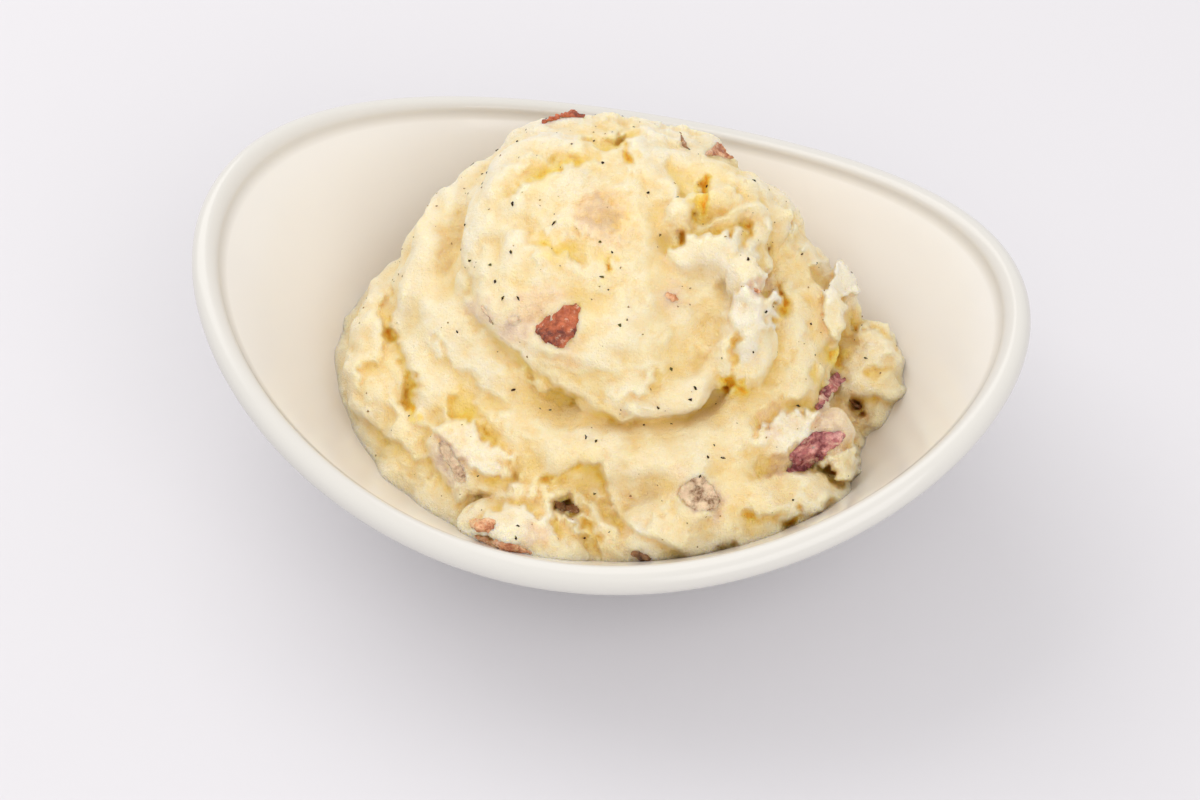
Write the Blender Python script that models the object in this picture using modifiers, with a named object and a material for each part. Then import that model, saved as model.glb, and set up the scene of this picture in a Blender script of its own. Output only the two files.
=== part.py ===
"""Mashed potatoes with pieces of potato skin, in an oval bowl whose rim rises at both ends.

The long side of the bowl lies along X, and the bowl stands on Z = 0. The heap is described
in its own frame, which is turned about Z against the bowl: right, away and up.
All sizes below are millimetres, and MM turns them into metres.
"""

import math

import bmesh
import bpy
from mathutils import Matrix, Vector, noise
from mathutils.bvhtree import BVHTree

MM = 0.001
GAP = 0.3

# Bowl: half length, half width and height of the middle of its rolled lip
BOWL_HALF_LENGTH = 88.4
BOWL_HALF_WIDTH = 68.6
LIP_HEIGHT = 50.0
LIP_RISE = 10.1
LIP_RADIUS = 3.0
# The bowl is turned as a round one of this radius, and then pulled oval
TURNED_RADIUS = 84.0
# Outside this radius the wall rises at the ends and drops at the sides
RISE_START = 36.0
RISE_POWER = 1.6
# Foot ring, floor and wall of the round bowl
FOOT_INNER = 25.0
FOOT_OUTER = 31.0
FOOT_RECESS = 3.0
FLOOR_HEIGHT = 8.5
FLOOR_RADIUS = 26.0
OUTER_WALL = ((33.0, 4.0), (52.0, 9.0), (69.0, 33.0), (82.6, 46.4))
INNER_WALL = ((FLOOR_RADIUS, FLOOR_HEIGHT), (50.0, 10.5), (67.5, 37.0), (81.05, 50.5))
WALL_STEPS = 7
LIP_STEPS = 7
LIP_FROM = -62.0
LIP_TO = 170.0
BOWL_SEGMENTS = 60

# The heap is turned against the bowl by this angle
HEAP_TURN = math.radians(14.76)

# Body of the heap: centre, half sizes, and turn, tilt and lean in degrees
BODY_LOBES = (
    ((2, -3, 24), (58, 57, 21), (0, 0, 0)),
    ((-44, 4, 26), (17, 25, 12), (10, 0, 0)),
    ((-32, -26, 28), (20, 24, 11), (30, 0, 0)),
    ((28, -38, 27), (28, 20, 12), (12, 8, 0)),
    ((0, 24, 36), (43, 34, 30), (0, 0, 0)),
    ((0, 0, 43), (39, 38, 26), (0, 20, 0)),
    ((0, 18, 53), (34, 31, 20), (0, 12, 0)),
    ((30, 6, 39), (22, 26, 20), (0, 0, 0)),
)
# Lobes that keep an edge where they lie on the body
FOLD_LOBES = (
    ((-4, -3, 63), (31, 36, 14.5), (0, 17, 0)),
    ((4, 16, 66), (30, 20, 12), (0, -8, 4)),
    ((22, 3, 66), (14, 22, 10), (-20, 10, 12)),
    ((-18, 20, 62), (15, 12, 12), (30, 0, -20)),
    ((56, -2, 30), (11, 12, 10), (0, 0, 0)),
    ((47, 9, 38), (9, 9, 11), (0, 0, 0)),
    ((61, -9, 27), (8, 8, 7), (0, 0, 0)),
    ((-17, -52, 35), (15, 9, 6.5), (-16, 10, 0)),
    ((-14, -43, 39), (8, 6, 6), (0, 0, 0)),
    ((-28, -38, 41), (14, 5, 6.5), (-38, 0, 0)),
    ((26, -45, 34), (27, 12, 9), (12, 0, 0)),
    ((28, -21, 61), (5, 7, 9), (10, 10, 0)),
    ((41, -33, 41), (12, 6, 6.5), (24, 10, -10)),
    ((-47, -1, 33), (12, 25, 11), (6, 0, 0)),
    ((-42, -24, 34), (10, 14, 9), (24, 0, 0)),
)
# Rolled folds: points with the radius there
FOLD_ROLLS = (
    ((-33, 10, 63, 4), (-33, -2, 62, 5), (-30, -12, 61, 5.5), (-24, -21, 60, 5.5),
     (-16, -28, 58, 5.5), (-6, -33, 55.5, 5.5), (5, -35, 54, 5.5), (14, -32, 52.5, 5.5),
     (21, -27, 54.5, 5), (24, -19, 57.5, 4.5)),
    ((-30, 27, 47, 11), (-36, 11, 46, 11.5), (-35, -8, 44, 11), (-28, -23, 42, 10),
     (-15, -33, 42, 9.5), (1, -36, 42, 9.5), (14, -35, 40, 10.5), (27, -30, 38, 13),
     (36, -14, 42, 13), (36, 3, 47, 13), (31, 18, 52, 12)),
    ((16, -9, 73, 3), (21, -7, 75, 3.5), (26, -9, 73.5, 3.5), (29, -13, 70, 4)),
    ((16, 1, 75.5, 3), (23, 5, 76, 3.5), (30, 9, 72, 3.5), (36, 12, 65, 4)),
    ((-28, 30, 60, 4), (-33, 22, 60, 5), (-37, 12, 57, 5), (-40, 3, 52, 5), (-39, -7, 50, 4)),
)
BODY_VOXEL = 2.0
BODY_SMOOTHING = 14
FOLD_VOXEL = 1.3
FOLD_SMOOTHING = 2
# Soft unevenness: height and the distance between bumps
RELIEF = ((1.1, 9.0), (0.5, 4.0))
HEAP_TRIANGLES = 7600
# The heap is looked at from the front at this height when the skins are laid on it
SEAT_VIEW = math.radians(45.84)

# Skins: name, where it lies across and up as seen from the front, half width, half height,
# turn in its own plane, and the depth that it is bent by
SKINS = (
    ("skin_crown_front", (-11.3, -3.8), (5.6, 4.3), 38, 1.2),
    ("skin_top_left", (-9.5, 40.6), (6.0, 3.6), 6, 1.4),
    ("skin_top_right", (20.5, 35.0), (4.6, 3.6), -20, 0.8),
    ("skin_right_upper", (48.6, -18.6), (2.8, 5.4), -28, 0.8),
    ("skin_right_lower", (45.4, -31.6), (6.4, 4.2), 34, 1.2),
    ("skin_front_knob", (20.0, -40.6), (4.8, 3.9), -24, 1.0),
    ("skin_left", (-34.4, -33.6), (3.0, 5.4), 20, 0.8),
    ("skin_front_left", (-26.4, -45.6), (4.0, 3.0), -20, 0.8),
    ("skin_front_left_edge", (-18.2, -47.8), (5.0, 2.3), -14, 0.6),
)
SKIN_THICKNESS = 1.8
SKIN_PROUD = 0.35
SKIN_SEGMENTS = 14
SKIN_RINGS = 6
SKIN_UNEVENNESS = 0.16


def remove_all_objects():
    for old in list(bpy.data.objects):
        bpy.data.objects.remove(old)


def new_collection(name):
    collection = bpy.data.collections.new(name)
    bpy.context.scene.collection.children.link(collection)
    return collection


def new_object(name, mesh, collection):
    made = bpy.data.objects.new(name, mesh)
    collection.objects.link(made)
    return made


def evaluated_mesh(source, name):
    """The mesh of an object with its modifiers applied. The object is removed."""
    graph = bpy.context.evaluated_depsgraph_get()
    mesh = bpy.data.meshes.new_from_object(source.evaluated_get(graph))
    mesh.name = name
    mesh.transform(source.matrix_world)
    bpy.data.objects.remove(source)
    return mesh


def material(name, colour, roughness):
    made = bpy.data.materials.new(name)
    made.use_nodes = True
    shader = made.node_tree.nodes["Principled BSDF"]
    shader.inputs["Base Color"].default_value = (*colour, 1.0)
    shader.inputs["Roughness"].default_value = roughness
    shader.inputs["Metallic"].default_value = 0.0
    return made


def bezier(points, steps):
    """Points along a cubic curve, both ends included."""
    a, b, c, d = (Vector(p) for p in points)
    out = []
    for i in range(steps + 1):
        t = i / steps
        s = 1 - t
        out.append(tuple(s**3 * a + 3 * s * s * t * b + 3 * s * t * t * c + t**3 * d))
    return out


def lip_arc():
    """The rolled lip from its inner side over the top to its outer side."""
    out = []
    for i in range(LIP_STEPS + 1):
        angle = math.radians(LIP_TO + (LIP_FROM - LIP_TO) * i / LIP_STEPS)
        across = TURNED_RADIUS + LIP_RADIUS * math.cos(angle)
        out.append((across, LIP_HEIGHT + LIP_RADIUS * math.sin(angle)))
    return out


def bowl_profile():
    """Half section of the round bowl: inside up, over the lip, outside down, and the foot."""
    inside = [(0.0, FLOOR_HEIGHT)] + bezier(INNER_WALL, WALL_STEPS)[:-1]
    outside = bezier(OUTER_WALL[::-1], WALL_STEPS)
    foot = [(FOOT_OUTER, 0.0), (FOOT_INNER, 0.0), (FOOT_INNER - 1.0, FOOT_RECESS),
            (0.0, FOOT_RECESS)]
    return inside + lip_arc() + outside[1:] + foot


def cavity_profile():
    """Half section of everything outside the bowl's cavity, raised by the gap to the food."""
    raised = 1.5 * GAP
    inside = [(0.0, FLOOR_HEIGHT)] + bezier(INNER_WALL, WALL_STEPS)
    inside = [(across, up + raised) for across, up in inside]
    beyond = TURNED_RADIUS * 1.3
    return inside + [(beyond, inside[-1][1]), (beyond, -FLOOR_HEIGHT), (0.0, -FLOOR_HEIGHT)]


def turned_mesh(name, profile):
    """A profile turned about Z, which runs down its outer side from top to bottom."""
    mesh = bpy.data.meshes.new(name)
    vertices = [(across * MM, 0.0, up * MM) for across, up in profile]
    edges = [(i, i + 1) for i in range(len(profile) - 1)]
    mesh.from_pydata(vertices, edges, [])
    turned = new_object(name, mesh, bpy.context.scene.collection)
    screw = turned.modifiers.new("turn", "SCREW")
    screw.steps = BOWL_SEGMENTS
    screw.render_steps = BOWL_SEGMENTS
    screw.use_merge_vertices = True
    screw.merge_threshold = 0.00001
    return evaluated_mesh(turned, name)


def pull_oval(mesh):
    """Turns the round bowl into the oval one with the rising ends."""
    for vertex in mesh.vertices:
        x, y, z = vertex.co / MM
        around = math.atan2(y, x)
        across = math.hypot(x, y)
        outward = max(0.0, (across - RISE_START) / (TURNED_RADIUS - RISE_START))
        rise = LIP_RISE * math.cos(2 * around) * min(outward, 1.0) ** RISE_POWER
        reach = min(across / TURNED_RADIUS, 1.0)
        long_way = across + (BOWL_HALF_LENGTH - TURNED_RADIUS) * reach
        short_way = across + (BOWL_HALF_WIDTH - TURNED_RADIUS) * reach
        place = (long_way * math.cos(around), short_way * math.sin(around), z + rise)
        vertex.co = Vector(place) * MM
    return mesh


def make_bowl(collection):
    mesh = pull_oval(turned_mesh("bowl", bowl_profile()))
    mesh.shade_smooth()
    mesh.materials.append(material("ivory_glaze", (0.84, 0.80, 0.71), 0.15))
    return new_object("bowl", mesh, collection)


def turn_matrix(angles):
    turn, tilt, lean = (math.radians(a) for a in angles)
    about_up = Matrix.Rotation(turn, 4, "Z")
    about_right = Matrix.Rotation(tilt, 4, "X")
    about_away = Matrix.Rotation(lean, 4, "Y")
    return about_up @ about_right @ about_away


def add_lobes(shape, lobes):
    for centre, half_sizes, angles in lobes:
        stretch = Matrix.Diagonal((*half_sizes, 1.0))
        place = Matrix.Translation(centre) @ turn_matrix(angles) @ stretch
        bmesh.ops.create_uvsphere(shape, u_segments=40, v_segments=24, radius=1.0, matrix=place)


def roll_mesh(points):
    """A rolled fold: a tube through the points with the radius that each gives."""
    curve = bpy.data.curves.new("roll", "CURVE")
    curve.dimensions = "3D"
    curve.bevel_depth = 1.0
    curve.bevel_resolution = 6
    curve.use_fill_caps = True
    spline = curve.splines.new("NURBS")
    spline.points.add(len(points) - 1)
    for point, (right, away, up, radius) in zip(spline.points, points):
        point.co = (right, away, up, 1.0)
        point.radius = radius
    spline.use_endpoint_u = True
    spline.order_u = 4
    spline.resolution_u = 4
    return evaluated_mesh(new_object("roll", curve, bpy.context.scene.collection), "roll")


def add_rolls(shape, rolls):
    for points in rolls:
        for end in (points[0], points[-1]):
            place = Matrix.Translation(end[:3]) @ Matrix.Scale(end[3], 4)
            bmesh.ops.create_uvsphere(shape, u_segments=20, v_segments=12, radius=1.0, matrix=place)
        mesh = roll_mesh(points)
        shape.from_mesh(mesh)
        bpy.data.meshes.remove(mesh)
    bmesh.ops.remove_doubles(shape, verts=shape.verts, dist=0.001)


def fused(shape, name, voxel, smoothing):
    """One skin over all the lobes in the shape, smoothed by a few passes."""
    mesh = bpy.data.meshes.new(name)
    shape.to_mesh(mesh)
    shape.free()
    lumps = new_object(name, mesh, bpy.context.scene.collection)
    remesh = lumps.modifiers.new("fuse", "REMESH")
    remesh.mode = "VOXEL"
    remesh.voxel_size = voxel
    smooth = lumps.modifiers.new("smooth", "SMOOTH")
    smooth.factor = 0.5
    smooth.iterations = smoothing
    return evaluated_mesh(lumps, name)


def add_relief(mesh):
    """Soft unevenness all over, along the normals."""
    moves = []
    for vertex in mesh.vertices:
        height = sum(size * noise.noise(vertex.co / spacing) for size, spacing in RELIEF)
        moves.append(vertex.normal * height)
    for vertex, move in zip(mesh.vertices, moves):
        vertex.co += move


def boolean(target, cutter, operation):
    cut = target.modifiers.new("cut", "BOOLEAN")
    cut.operation = operation
    cut.object = cutter
    cut.solver = "EXACT"


def make_cutter(name, mesh, collection):
    cutter = new_object(name, mesh, collection)
    cutter.hide_render = True
    cutter.display_type = "WIRE"
    return cutter


def heap_mesh():
    body = bmesh.new()
    add_lobes(body, BODY_LOBES)
    body_mesh = fused(body, "body", BODY_VOXEL, BODY_SMOOTHING)
    folds = bmesh.new()
    folds.from_mesh(body_mesh)
    bpy.data.meshes.remove(body_mesh)
    add_lobes(folds, FOLD_LOBES)
    add_rolls(folds, FOLD_ROLLS)
    mesh = fused(folds, "heap", FOLD_VOXEL, FOLD_SMOOTHING)
    add_relief(mesh)
    mesh.transform(Matrix.Rotation(HEAP_TURN, 4, "Z") @ Matrix.Scale(MM, 4))
    coarse = new_object("heap", mesh, bpy.context.scene.collection)
    thin_out = coarse.modifiers.new("thin out", "DECIMATE")
    thin_out.ratio = HEAP_TRIANGLES / (2 * len(mesh.polygons))
    return evaluated_mesh(coarse, "mash")


def seat(surface, across, up):
    """Where the heap is met by the line of sight through a point across and up, and its slope."""
    turn = Matrix.Rotation(HEAP_TURN, 3, "Z")
    right = turn @ Vector((1, 0, 0))
    towards = turn @ Vector((0, -math.cos(SEAT_VIEW), math.sin(SEAT_VIEW)))
    upward = turn @ Vector((0, math.sin(SEAT_VIEW), math.cos(SEAT_VIEW)))
    middle = Vector((0, 0, LIP_HEIGHT))
    start = (middle + right * across + upward * up + towards * 200.0) * MM
    place, slope, _, _ = surface.ray_cast(start, -towards)
    return place, slope


def seat_matrix(place, slope, turn):
    """Axes of a skin: Z out of the heap, X along the heap's right, then turned in its plane."""
    right = Matrix.Rotation(HEAP_TURN, 3, "Z") @ Vector((1, 0, 0))
    z_axis = slope.normalized()
    y_axis = z_axis.cross(right).normalized()
    x_axis = y_axis.cross(z_axis)
    axes = Matrix((x_axis, y_axis, z_axis)).transposed().to_4x4()
    return Matrix.Translation(place) @ axes @ Matrix.Rotation(math.radians(turn), 4, "Z")


def skin_outline(around, number):
    """Uneven outline of a torn skin: a factor on its half width and height."""
    wave = math.sin(2 * around + number) + 0.7 * math.sin(3 * around + 2.3 * number)
    return 1.0 + 0.5 * SKIN_UNEVENNESS * (wave + 0.6 * math.sin(5 * around + 1.1 * number))


def shape_skin(mesh, half_size, bend, number, matrix, lift):
    """Gives a unit disc-like mesh the outline, bend and place of a skin."""
    half_width, half_height = half_size
    for vertex in mesh.vertices:
        x, y, z = vertex.co
        factor = skin_outline(math.atan2(y, x), number)
        x *= factor
        y *= factor
        drop = bend * (x * x + y * y) + 0.25 * math.sin(3.0 * x + number)
        place = Vector((x * half_width, y * half_height, z + lift - drop))
        vertex.co = matrix @ (place * MM)


def skin_mesh(name, half_size, bend, number, matrix):
    shape = bmesh.new()
    bmesh.ops.create_uvsphere(shape, u_segments=SKIN_SEGMENTS, v_segments=SKIN_RINGS, radius=1.0)
    mesh = bpy.data.meshes.new(name)
    shape.to_mesh(mesh)
    shape.free()
    for vertex in mesh.vertices:
        vertex.co.z *= 0.5 * SKIN_THICKNESS
    shape_skin(mesh, half_size, bend, number, matrix, SKIN_PROUD - 0.5 * SKIN_THICKNESS)
    return mesh


def pocket_mesh(name, half_size, bend, number, matrix):
    """The room that a skin takes in the heap, open to the outside."""
    shape = bmesh.new()
    bmesh.ops.create_cone(shape, cap_ends=True, segments=2 * SKIN_SEGMENTS, radius1=1.0,
                          radius2=1.0, depth=1.0)
    bmesh.ops.translate(shape, verts=shape.verts, vec=(0, 0, 0.5))
    mesh = bpy.data.meshes.new(name)
    shape.to_mesh(mesh)
    shape.free()
    depth = SKIN_THICKNESS + GAP
    for vertex in mesh.vertices:
        vertex.co.z *= 4.0 * depth
    room = tuple(half + 1.5 * GAP for half in half_size)
    shape_skin(mesh, room, bend, number, matrix, SKIN_PROUD - depth - bend)
    return mesh


def cleaned(source):
    """The object's cut mesh in triangles, without slivers shorter than a hundredth."""
    mesh = evaluated_mesh(source, source.name)
    shape = bmesh.new()
    shape.from_mesh(mesh)
    bmesh.ops.remove_doubles(shape, verts=shape.verts, dist=0.01 * MM)
    bmesh.ops.dissolve_degenerate(shape, edges=shape.edges, dist=0.01 * MM)
    bmesh.ops.triangulate(shape, faces=shape.faces)
    loose = [edge for edge in shape.edges if not edge.link_faces]
    bmesh.ops.delete(shape, geom=loose, context="EDGES")
    shape.to_mesh(mesh)
    shape.free()
    return mesh


def make_skins(heap, wall, collection, cutters):
    """Lays the skins on the heap, clear of the bowl, and cuts the pocket of each into it."""
    graph = bpy.context.evaluated_depsgraph_get()
    surface = BVHTree.FromObject(heap, graph)
    finish = material("potato_skin", (0.36, 0.09, 0.07), 0.45)
    for number, (name, (across, up), half_size, turn, bend) in enumerate(SKINS):
        place, slope = seat(surface, across, up)
        matrix = seat_matrix(place, slope, turn)
        mesh = skin_mesh(name, half_size, bend, number, matrix)
        mesh.materials.append(finish)
        mesh.shade_smooth()
        boolean(new_object(name, mesh, collection), wall, "DIFFERENCE")
        pocket = pocket_mesh(name + "_pocket", half_size, bend, number, matrix)
        boolean(heap, make_cutter(name + "_pocket", pocket, cutters), "DIFFERENCE")


def make_mash(wall, collection):
    mesh = heap_mesh()
    mesh.materials.append(material("mash", (0.86, 0.74, 0.45), 0.5))
    mesh.shade_smooth()
    heap = new_object("mash", mesh, collection)
    boolean(heap, wall, "DIFFERENCE")
    bpy.context.view_layer.update()
    return heap


def main():
    remove_all_objects()
    parts = new_collection("mashed_potato_side")
    cutters = new_collection("cutters")
    make_bowl(parts)
    outside = pull_oval(turned_mesh("outside_the_cavity", cavity_profile()))
    wall = make_cutter("outside_the_cavity", outside, cutters)
    heap = make_mash(wall, parts)
    make_skins(heap, wall, parts, cutters)
    for cut_piece in list(parts.objects):
        name = cut_piece.name
        new_object(name, cleaned(cut_piece), parts).name = name


main()
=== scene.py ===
import math

import bmesh
import bpy
import numpy as np
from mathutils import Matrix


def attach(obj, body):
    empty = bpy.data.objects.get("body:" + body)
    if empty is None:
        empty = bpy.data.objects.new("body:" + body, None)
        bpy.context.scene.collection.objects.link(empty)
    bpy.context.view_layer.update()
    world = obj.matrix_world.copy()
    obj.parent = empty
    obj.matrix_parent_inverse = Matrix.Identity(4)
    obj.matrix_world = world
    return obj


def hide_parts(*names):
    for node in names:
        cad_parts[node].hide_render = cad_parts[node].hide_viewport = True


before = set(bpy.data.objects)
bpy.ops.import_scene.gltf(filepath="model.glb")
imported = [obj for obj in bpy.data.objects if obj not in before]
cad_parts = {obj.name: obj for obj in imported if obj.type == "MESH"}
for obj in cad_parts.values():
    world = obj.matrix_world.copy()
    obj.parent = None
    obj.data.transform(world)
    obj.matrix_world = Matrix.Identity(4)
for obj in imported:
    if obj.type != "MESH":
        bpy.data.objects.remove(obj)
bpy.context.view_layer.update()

import openvdb
from mathutils import Matrix, Vector
from mathutils.bvhtree import BVHTree

MM = 0.001

# Photograph: size, the pixel that the camera's target falls on, and pixels a millimetre there
PHOTO_WIDTH = 1200
PHOTO_HEIGHT = 800
TARGET_X = 607.8
TARGET_Y = 307.3
PIXELS_PER_MM = 4.6
# Camera: distance from the target, its height as an angle, and its turn about the bowl
CAMERA_DISTANCE = 800.0
CAMERA_ELEVATION = math.radians(45.84)
CAMERA_TURN = math.radians(14.76)
TARGET_HEIGHT = 50.0
SENSOR_WIDTH = 36.0

# Bowl, in millimetres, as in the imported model
BOWL_HALF_LENGTH = 88.4
BOWL_HALF_WIDTH = 68.6
LIP_HEIGHT = 50.0
LIP_RISE = 10.1
LIP_RADIUS = 3.0
TURNED_RADIUS = 84.0
RISE_START = 36.0
RISE_POWER = 1.6
FOOT_INNER = 25.0
FOOT_OUTER = 31.0
FOOT_RECESS = 3.0
FOOT_BEVEL = 0.8
FOOT_EDGE = 1.0
FLOOR_HEIGHT = 8.5
OUTER_WALL = ((33.0, 4.0), (52.0, 9.0), (69.0, 33.0), (82.6, 46.4))
INNER_WALL = ((26.0, FLOOR_HEIGHT), (50.0, 10.5), (67.5, 37.0), (81.05, 50.5))
LIP_FROM = -62.0
LIP_TO = 170.0
BOWL_SEGMENTS = 240
WALL_STEPS = 28
LIP_STEPS = 18

# Heap: the cells it is worked out in and the block that holds them, in millimetres to the
# right, away and up as the camera stands
CELL = 0.55
BLOCK_LOW = (-68.0, -68.0, 6.0)
BLOCK_HIGH = (72.0, 66.0, 86.0)
# The heap's mesh is thinned out to this many triangles
HEAP_FACES = 196000
# How far the heap sinks into the bowl's wall, so that no gap shows round it
SINK = 0.9
# Waves that bend the heap's lobes, ruffles where it is rough, and lumps: height, size, seed
BENDS = ((1.3, 16, 1), (0.8, 7, 5))
RUFFLES = ((0.35, 6.5, 61), (0.14, 3.4, 62))
LUMPS = ((0.30, 7.0, 64), (0.13, 3.4, 65), (0.10, 2.0, 66))
# Layers that tell how hollow the heap is at each place, and over what reach
# The mash's colour turns deeper yellow in the hollows from these, as painted shade
HOLLOWS = {"hollow_small": 1.6, "hollow_large": 5.0}
HOLLOW_LIMIT = 6.0
# Distances to the heap's surface: in empty cells, where folds and lumps can reach, and in the
# grid that its mesh is made of
EMPTY = 20
DETAIL_FROM = -8
DETAIL_TO = 7
GRID_REACH = 3.0
# How much of its seen folds the far side repeats, and the slopes towards the camera between
# which one side fades into the other
BACK_SHARE = 0.7
FACING_FROM = -0.25
FACING_RANGE = 0.4
# How much of the lumps is left where the heap is smooth
SMOOTH_LUMPS = 0.25
# How steeply the heap is cut off below the bowl's surface
CUT_SLOPE = 0.75

# Body of the heap: centre, half sizes, and turn, tilt and lean in degrees
BODY_LOBES = (
    ((2, -3, 24), (58, 57, 21), (0, 0, 0)),
    ((-44, 4, 26), (17, 25, 12), (10, 0, 0)),
    ((-31, -25, 28), (18, 23, 11), (30, 0, 0)),
    ((28, -38, 27), (28, 20, 12), (12, 8, 0)),
    ((0, 24, 36), (43, 34, 30), (0, 0, 0)),
    ((0, 0, 43), (39, 38, 26), (0, 20, 0)),
    ((0, 18, 53), (34, 31, 20), (0, 12, 0)),
    ((30, 6, 39), (22, 26, 20), (0, 0, 0)),
    ((-23, -8, 49), (15, 21, 10.5), (12, 14, 0)),
    ((-4, -42, 30), (17, 14, 9.5), (0, 0, 0)),
)
FOLD_LOBES = (
    ((-4, -3, 63), (25.5, 35.5, 14.5), (25, 17, 0)),
    ((4, 16, 66), (30, 20, 12), (0, -8, 4)),
    ((22, 3, 66), (14, 22, 10), (-20, 10, 12)),
    ((-18, 20, 62), (15, 12, 12), (30, 0, -20)),
    ((55.5, -1, 33), (11, 12.5, 10), (0, 0, 0)),
    ((47, 9, 39), (9, 9, 11), (0, 0, 0)),
    ((60, -8, 29), (8, 8, 7), (0, 0, 0)),
    ((-17, -52, 35), (15, 9, 6.5), (-16, 10, 0)),
    ((-14, -43, 39), (8, 6, 6), (0, 0, 0)),
    ((-28, -38, 41), (14, 5, 6.5), (-38, 0, 0)),
    ((26, -45, 34), (27, 12, 9), (12, 0, 0)),
    ((27, -17, 57), (9, 12, 10), (10, 10, 0)),
    ((41, -33, 41), (12, 6, 6.5), (24, 10, -10)),
    ((-45.5, 2, 36), (12, 25, 11), (-6, 0, 0)),
    ((-39.5, -23, 34), (9, 13, 9), (24, 0, 0)),
)
FOLD_ROLLS = (
    ((-30, -4, 61, 3), (-22, -13, 59.5, 3.8), (-15.4, -20.5, 58, 4.2), (-9, -25.5, 57, 4.4),
     (-2.3, -29, 56, 4.5), (8, -31.5, 55, 4.5), (17.5, -29, 55, 4.3), (22, -21, 57, 3.4)),
    ((-30, 27, 47, 11), (-36, 11, 46, 11.5), (-35, -8, 44, 11), (-28, -23, 42, 10),
     (-15, -33, 42, 9.5), (1, -36, 42, 9.5), (14, -35, 40, 10.5), (27, -30, 38, 13),
     (36, -14, 42, 13), (36, 3, 47, 13), (31, 18, 52, 12)),
    ((16, -9, 73, 3), (21, -7, 75, 3.5), (26, -9, 73.5, 3.5), (29, -13, 70, 4)),
    ((16, 1, 75.5, 3), (23, 5, 76, 3.5), (30, 9, 72, 3.5), (36, 12, 65, 4)),
    ((-28, 30, 60, 4), (-33, 22, 60, 5), (-37, 12, 57, 5), (-40, 3, 52, 5), (-39, -7, 50, 4)),
)
BODY_BLEND = 7.0
FOLD_BLEND = 2.2

# Grid over the heap as the camera sees it, in millimetres right and up of the target
FACE_STEP = 0.4
FACE_LOW = (-68.0, -64.0)
FACE_HIGH = (72.0, 52.0)
# Waves that make its lines ragged: height, size and seed. The folds vary along their lines
# too: size and seed, and by how much
RAGGED_WAVES = ((0.9, 4.0, 91), (0.8, 1.6, 93))
FOLD_VARIATION = (9.0, 95)
FOLD_UNEVEN = 0.35
# The part of its length over which a fold and a mark fade out at each end, and what is left of
# the mark there
FOLD_TAPER = 0.16
MARK_TAPER = 0.3
MARK_END = 0.35
# How yellow the lower side of a fold, a crease and a pit are for each millimetre of depth
# These are painted shade: deeper yellow where shade falls under lips and in creases and pits
FOLD_SHADE_YELLOW = 0.16
MARK_SHADE_YELLOW = 0.22
MARK_YELLOW_LIMIT = 4.0
# How ragged marks, spots, spoon marks and beds of skins are
MARK_RAGGED = 0.7
SPOT_RAGGED = 1.6
SWEEP_RAGGED = 1.5
BED_RAGGED = 0.5
# How rough the heap is everywhere, and how much more it can be in rough places
ROUGH = 0.4
ROUGH_LIMIT = 1.1

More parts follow.
